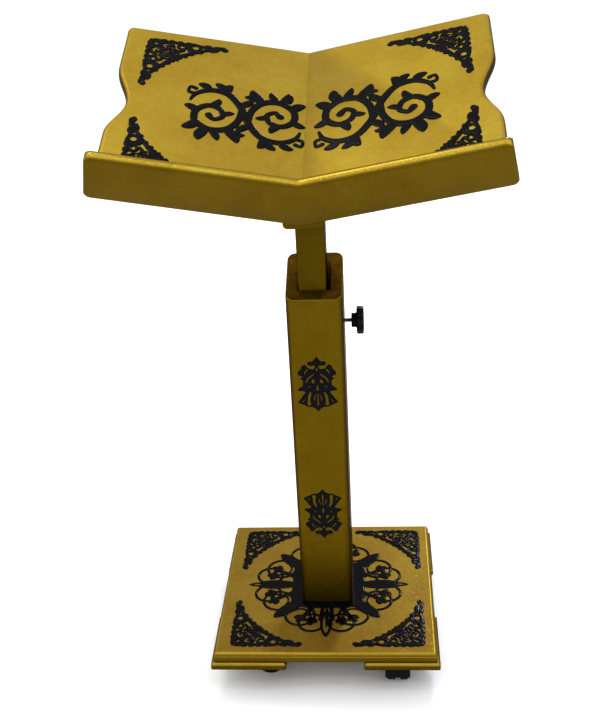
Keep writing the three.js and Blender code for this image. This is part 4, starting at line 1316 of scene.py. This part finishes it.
class AddStage(PieceOperator):
    """Makes the floor, the soft lights and the camera"""
    bl_idname = "stand.add_stage"
    bl_label = "Floor, lights and camera"

    # The camera's place from the column's axis at the top of the base, in mm
    CAMERA_AT = (94.44, -1484.57, 1128.91)
    YAW, PITCH, ROLL = (math.radians(value) for value in (4.693, -25.606, -3.064))

    def execute(self, context):
        scene = context.scene
        scene.view_settings.view_transform = "Standard"
        mesh = bpy.data.meshes.new("studio_floor")
        rim = 60.0
        mesh.from_pydata([(-rim, -rim, 0), (rim, -rim, 0), (rim, rim, 0), (-rim, rim, 0)], [], [(0, 1, 2, 3)])
        mesh.materials.append(floor_finish())
        floor = bpy.data.objects.new("studio_floor", mesh)
        scene.collection.objects.link(floor)
        floor.location.z = -0.0002
        self.camera(scene)
        self.lights(scene)
        return {"FINISHED"}

    def camera(self, scene):
        data = bpy.data.cameras.new("camera")
        data.sensor_width = 36.0
        data.sensor_fit = "AUTO"
        data.lens = 55.0
        data.clip_end = 200.0
        camera = bpy.data.objects.new("camera", data)
        scene.collection.objects.link(camera)
        place = Vector((self.CAMERA_AT[0], self.CAMERA_AT[1] + COLUMN_Y, self.CAMERA_AT[2] + BASE_TOP)) * MM
        forward = Vector((-math.sin(self.YAW), math.cos(self.YAW), 0))
        right = Vector((math.cos(self.YAW), math.sin(self.YAW), 0))
        up = Vector((0, 0, 1))
        tipped = forward * math.cos(self.PITCH) + up * math.sin(self.PITCH)
        raised = up * math.cos(self.PITCH) - forward * math.sin(self.PITCH)
        side = right * math.cos(self.ROLL) + raised * math.sin(self.ROLL)
        head = raised * math.cos(self.ROLL) - right * math.sin(self.ROLL)
        turn = Matrix((side, head, -tipped)).transposed()
        camera.matrix_world = Matrix.Translation(place) @ turn.to_4x4()
        scene.camera = camera

    def lights(self, scene):
        world = bpy.data.worlds.new("studio")
        world.use_nodes = True
        tree = world.node_tree
        tree.nodes.clear()
        # An even white tent, brightest overhead, and brighter in front and on the left than behind.
        heading = node(tree, "TexCoord").outputs["Generated"]
        height = node(tree, "VectorMath", {0: heading, 1: (-0.2, -0.35, 1.0)}, operation="DOT_PRODUCT")
        glow = node(tree, "MapRange", {0: height, 1: 0.25, 2: 0.85, 3: 0.55, 4: 0.92},
                    interpolation_type="SMOOTHSTEP")
        tent = node(tree, "Background", {"Color": (1.0, 1.0, 1.0, 1.0), "Strength": glow})
        node(tree, "OutputWorld", {"Surface": tent})
        scene.world = world
        sun = bpy.data.lights.new("ceiling bounce", "SUN")
        sun.energy = 1.2
        sun.angle = math.radians(120)
        bounce = bpy.data.objects.new("ceiling bounce", sun)
        scene.collection.objects.link(bounce)
        target = Vector((0, 0, 0.75))
        for name, place, width, height, power, tint in (
            ("overhead softbox", (-0.9, 0.7, 3.4), 1.4, 1.0, 16, (1.0, 0.99, 0.96)),
            ("front strip low", (0.2, -1.9, 3.0), 3.2, 0.05, 9, (1.0, 1.0, 1.0)),
            ("front strip middle", (0.1, -1.1, 3.2), 3.2, 0.05, 9, (1.0, 1.0, 1.0)),
            ("front strip high", (0.0, -0.3, 3.3), 3.2, 0.05, 9, (1.0, 1.0, 1.0)),
            ("window at the right rear", (0.56, 2.35, 1.9), 0.32, 0.26, 40, (0.78, 0.87, 1.0)),
        ):
            data = bpy.data.lights.new(name, "AREA")
            data.shape = "RECTANGLE"
            data.size, data.size_y = width, height
            data.energy = power
            data.color = tint
            light = bpy.data.objects.new(name, data)
            scene.collection.objects.link(light)
            light.location = place
            light.rotation_euler = (target - light.location).to_track_quat("-Z", "Y").to_euler()


PIECE_OPERATORS = (AddBase, AddCasters, AddColumn, AddColumnScrews, AddClamp, AddMast, AddBoards, AddLedges,
                   AddBaseOrnaments, AddColumnOrnaments, AddBoardOrnaments, FinishHiddenParts, AddStage)


class StandPanel(bpy.types.Panel):
    """Lists the stand's sizes, colours and pieces"""
    bl_idname = "VIEW3D_PT_quran_stand"
    bl_label = "Quran stand"
    bl_space_type = "VIEW_3D"
    bl_region_type = "UI"
    bl_category = "Quran Stand"

    def draw(self, context):
        for group in (context.scene.stand_sizes, context.scene.stand_colours):
            for name in group.bl_rna.properties.keys():
                if name not in {"rna_type", "name"}:
                    self.layout.prop(group, name)
        for operator in PIECE_OPERATORS:
            self.layout.operator(operator.bl_idname)


CLASSES = (StandColours, StandSizes, *PIECE_OPERATORS, StandPanel)


def register():
    for each in CLASSES:
        bpy.utils.register_class(each)
    bpy.types.Scene.stand_colours = PointerProperty(type=StandColours)
    bpy.types.Scene.stand_sizes = PointerProperty(type=StandSizes)


def unregister():
    del bpy.types.Scene.stand_colours
    del bpy.types.Scene.stand_sizes
    for each in reversed(CLASSES):
        bpy.utils.unregister_class(each)


def main():
    register()
    for operator in PIECE_OPERATORS:
        group, name = operator.bl_idname.split(".")
        getattr(getattr(bpy.ops, group), name)()


if __name__ == "__main__":
    main()
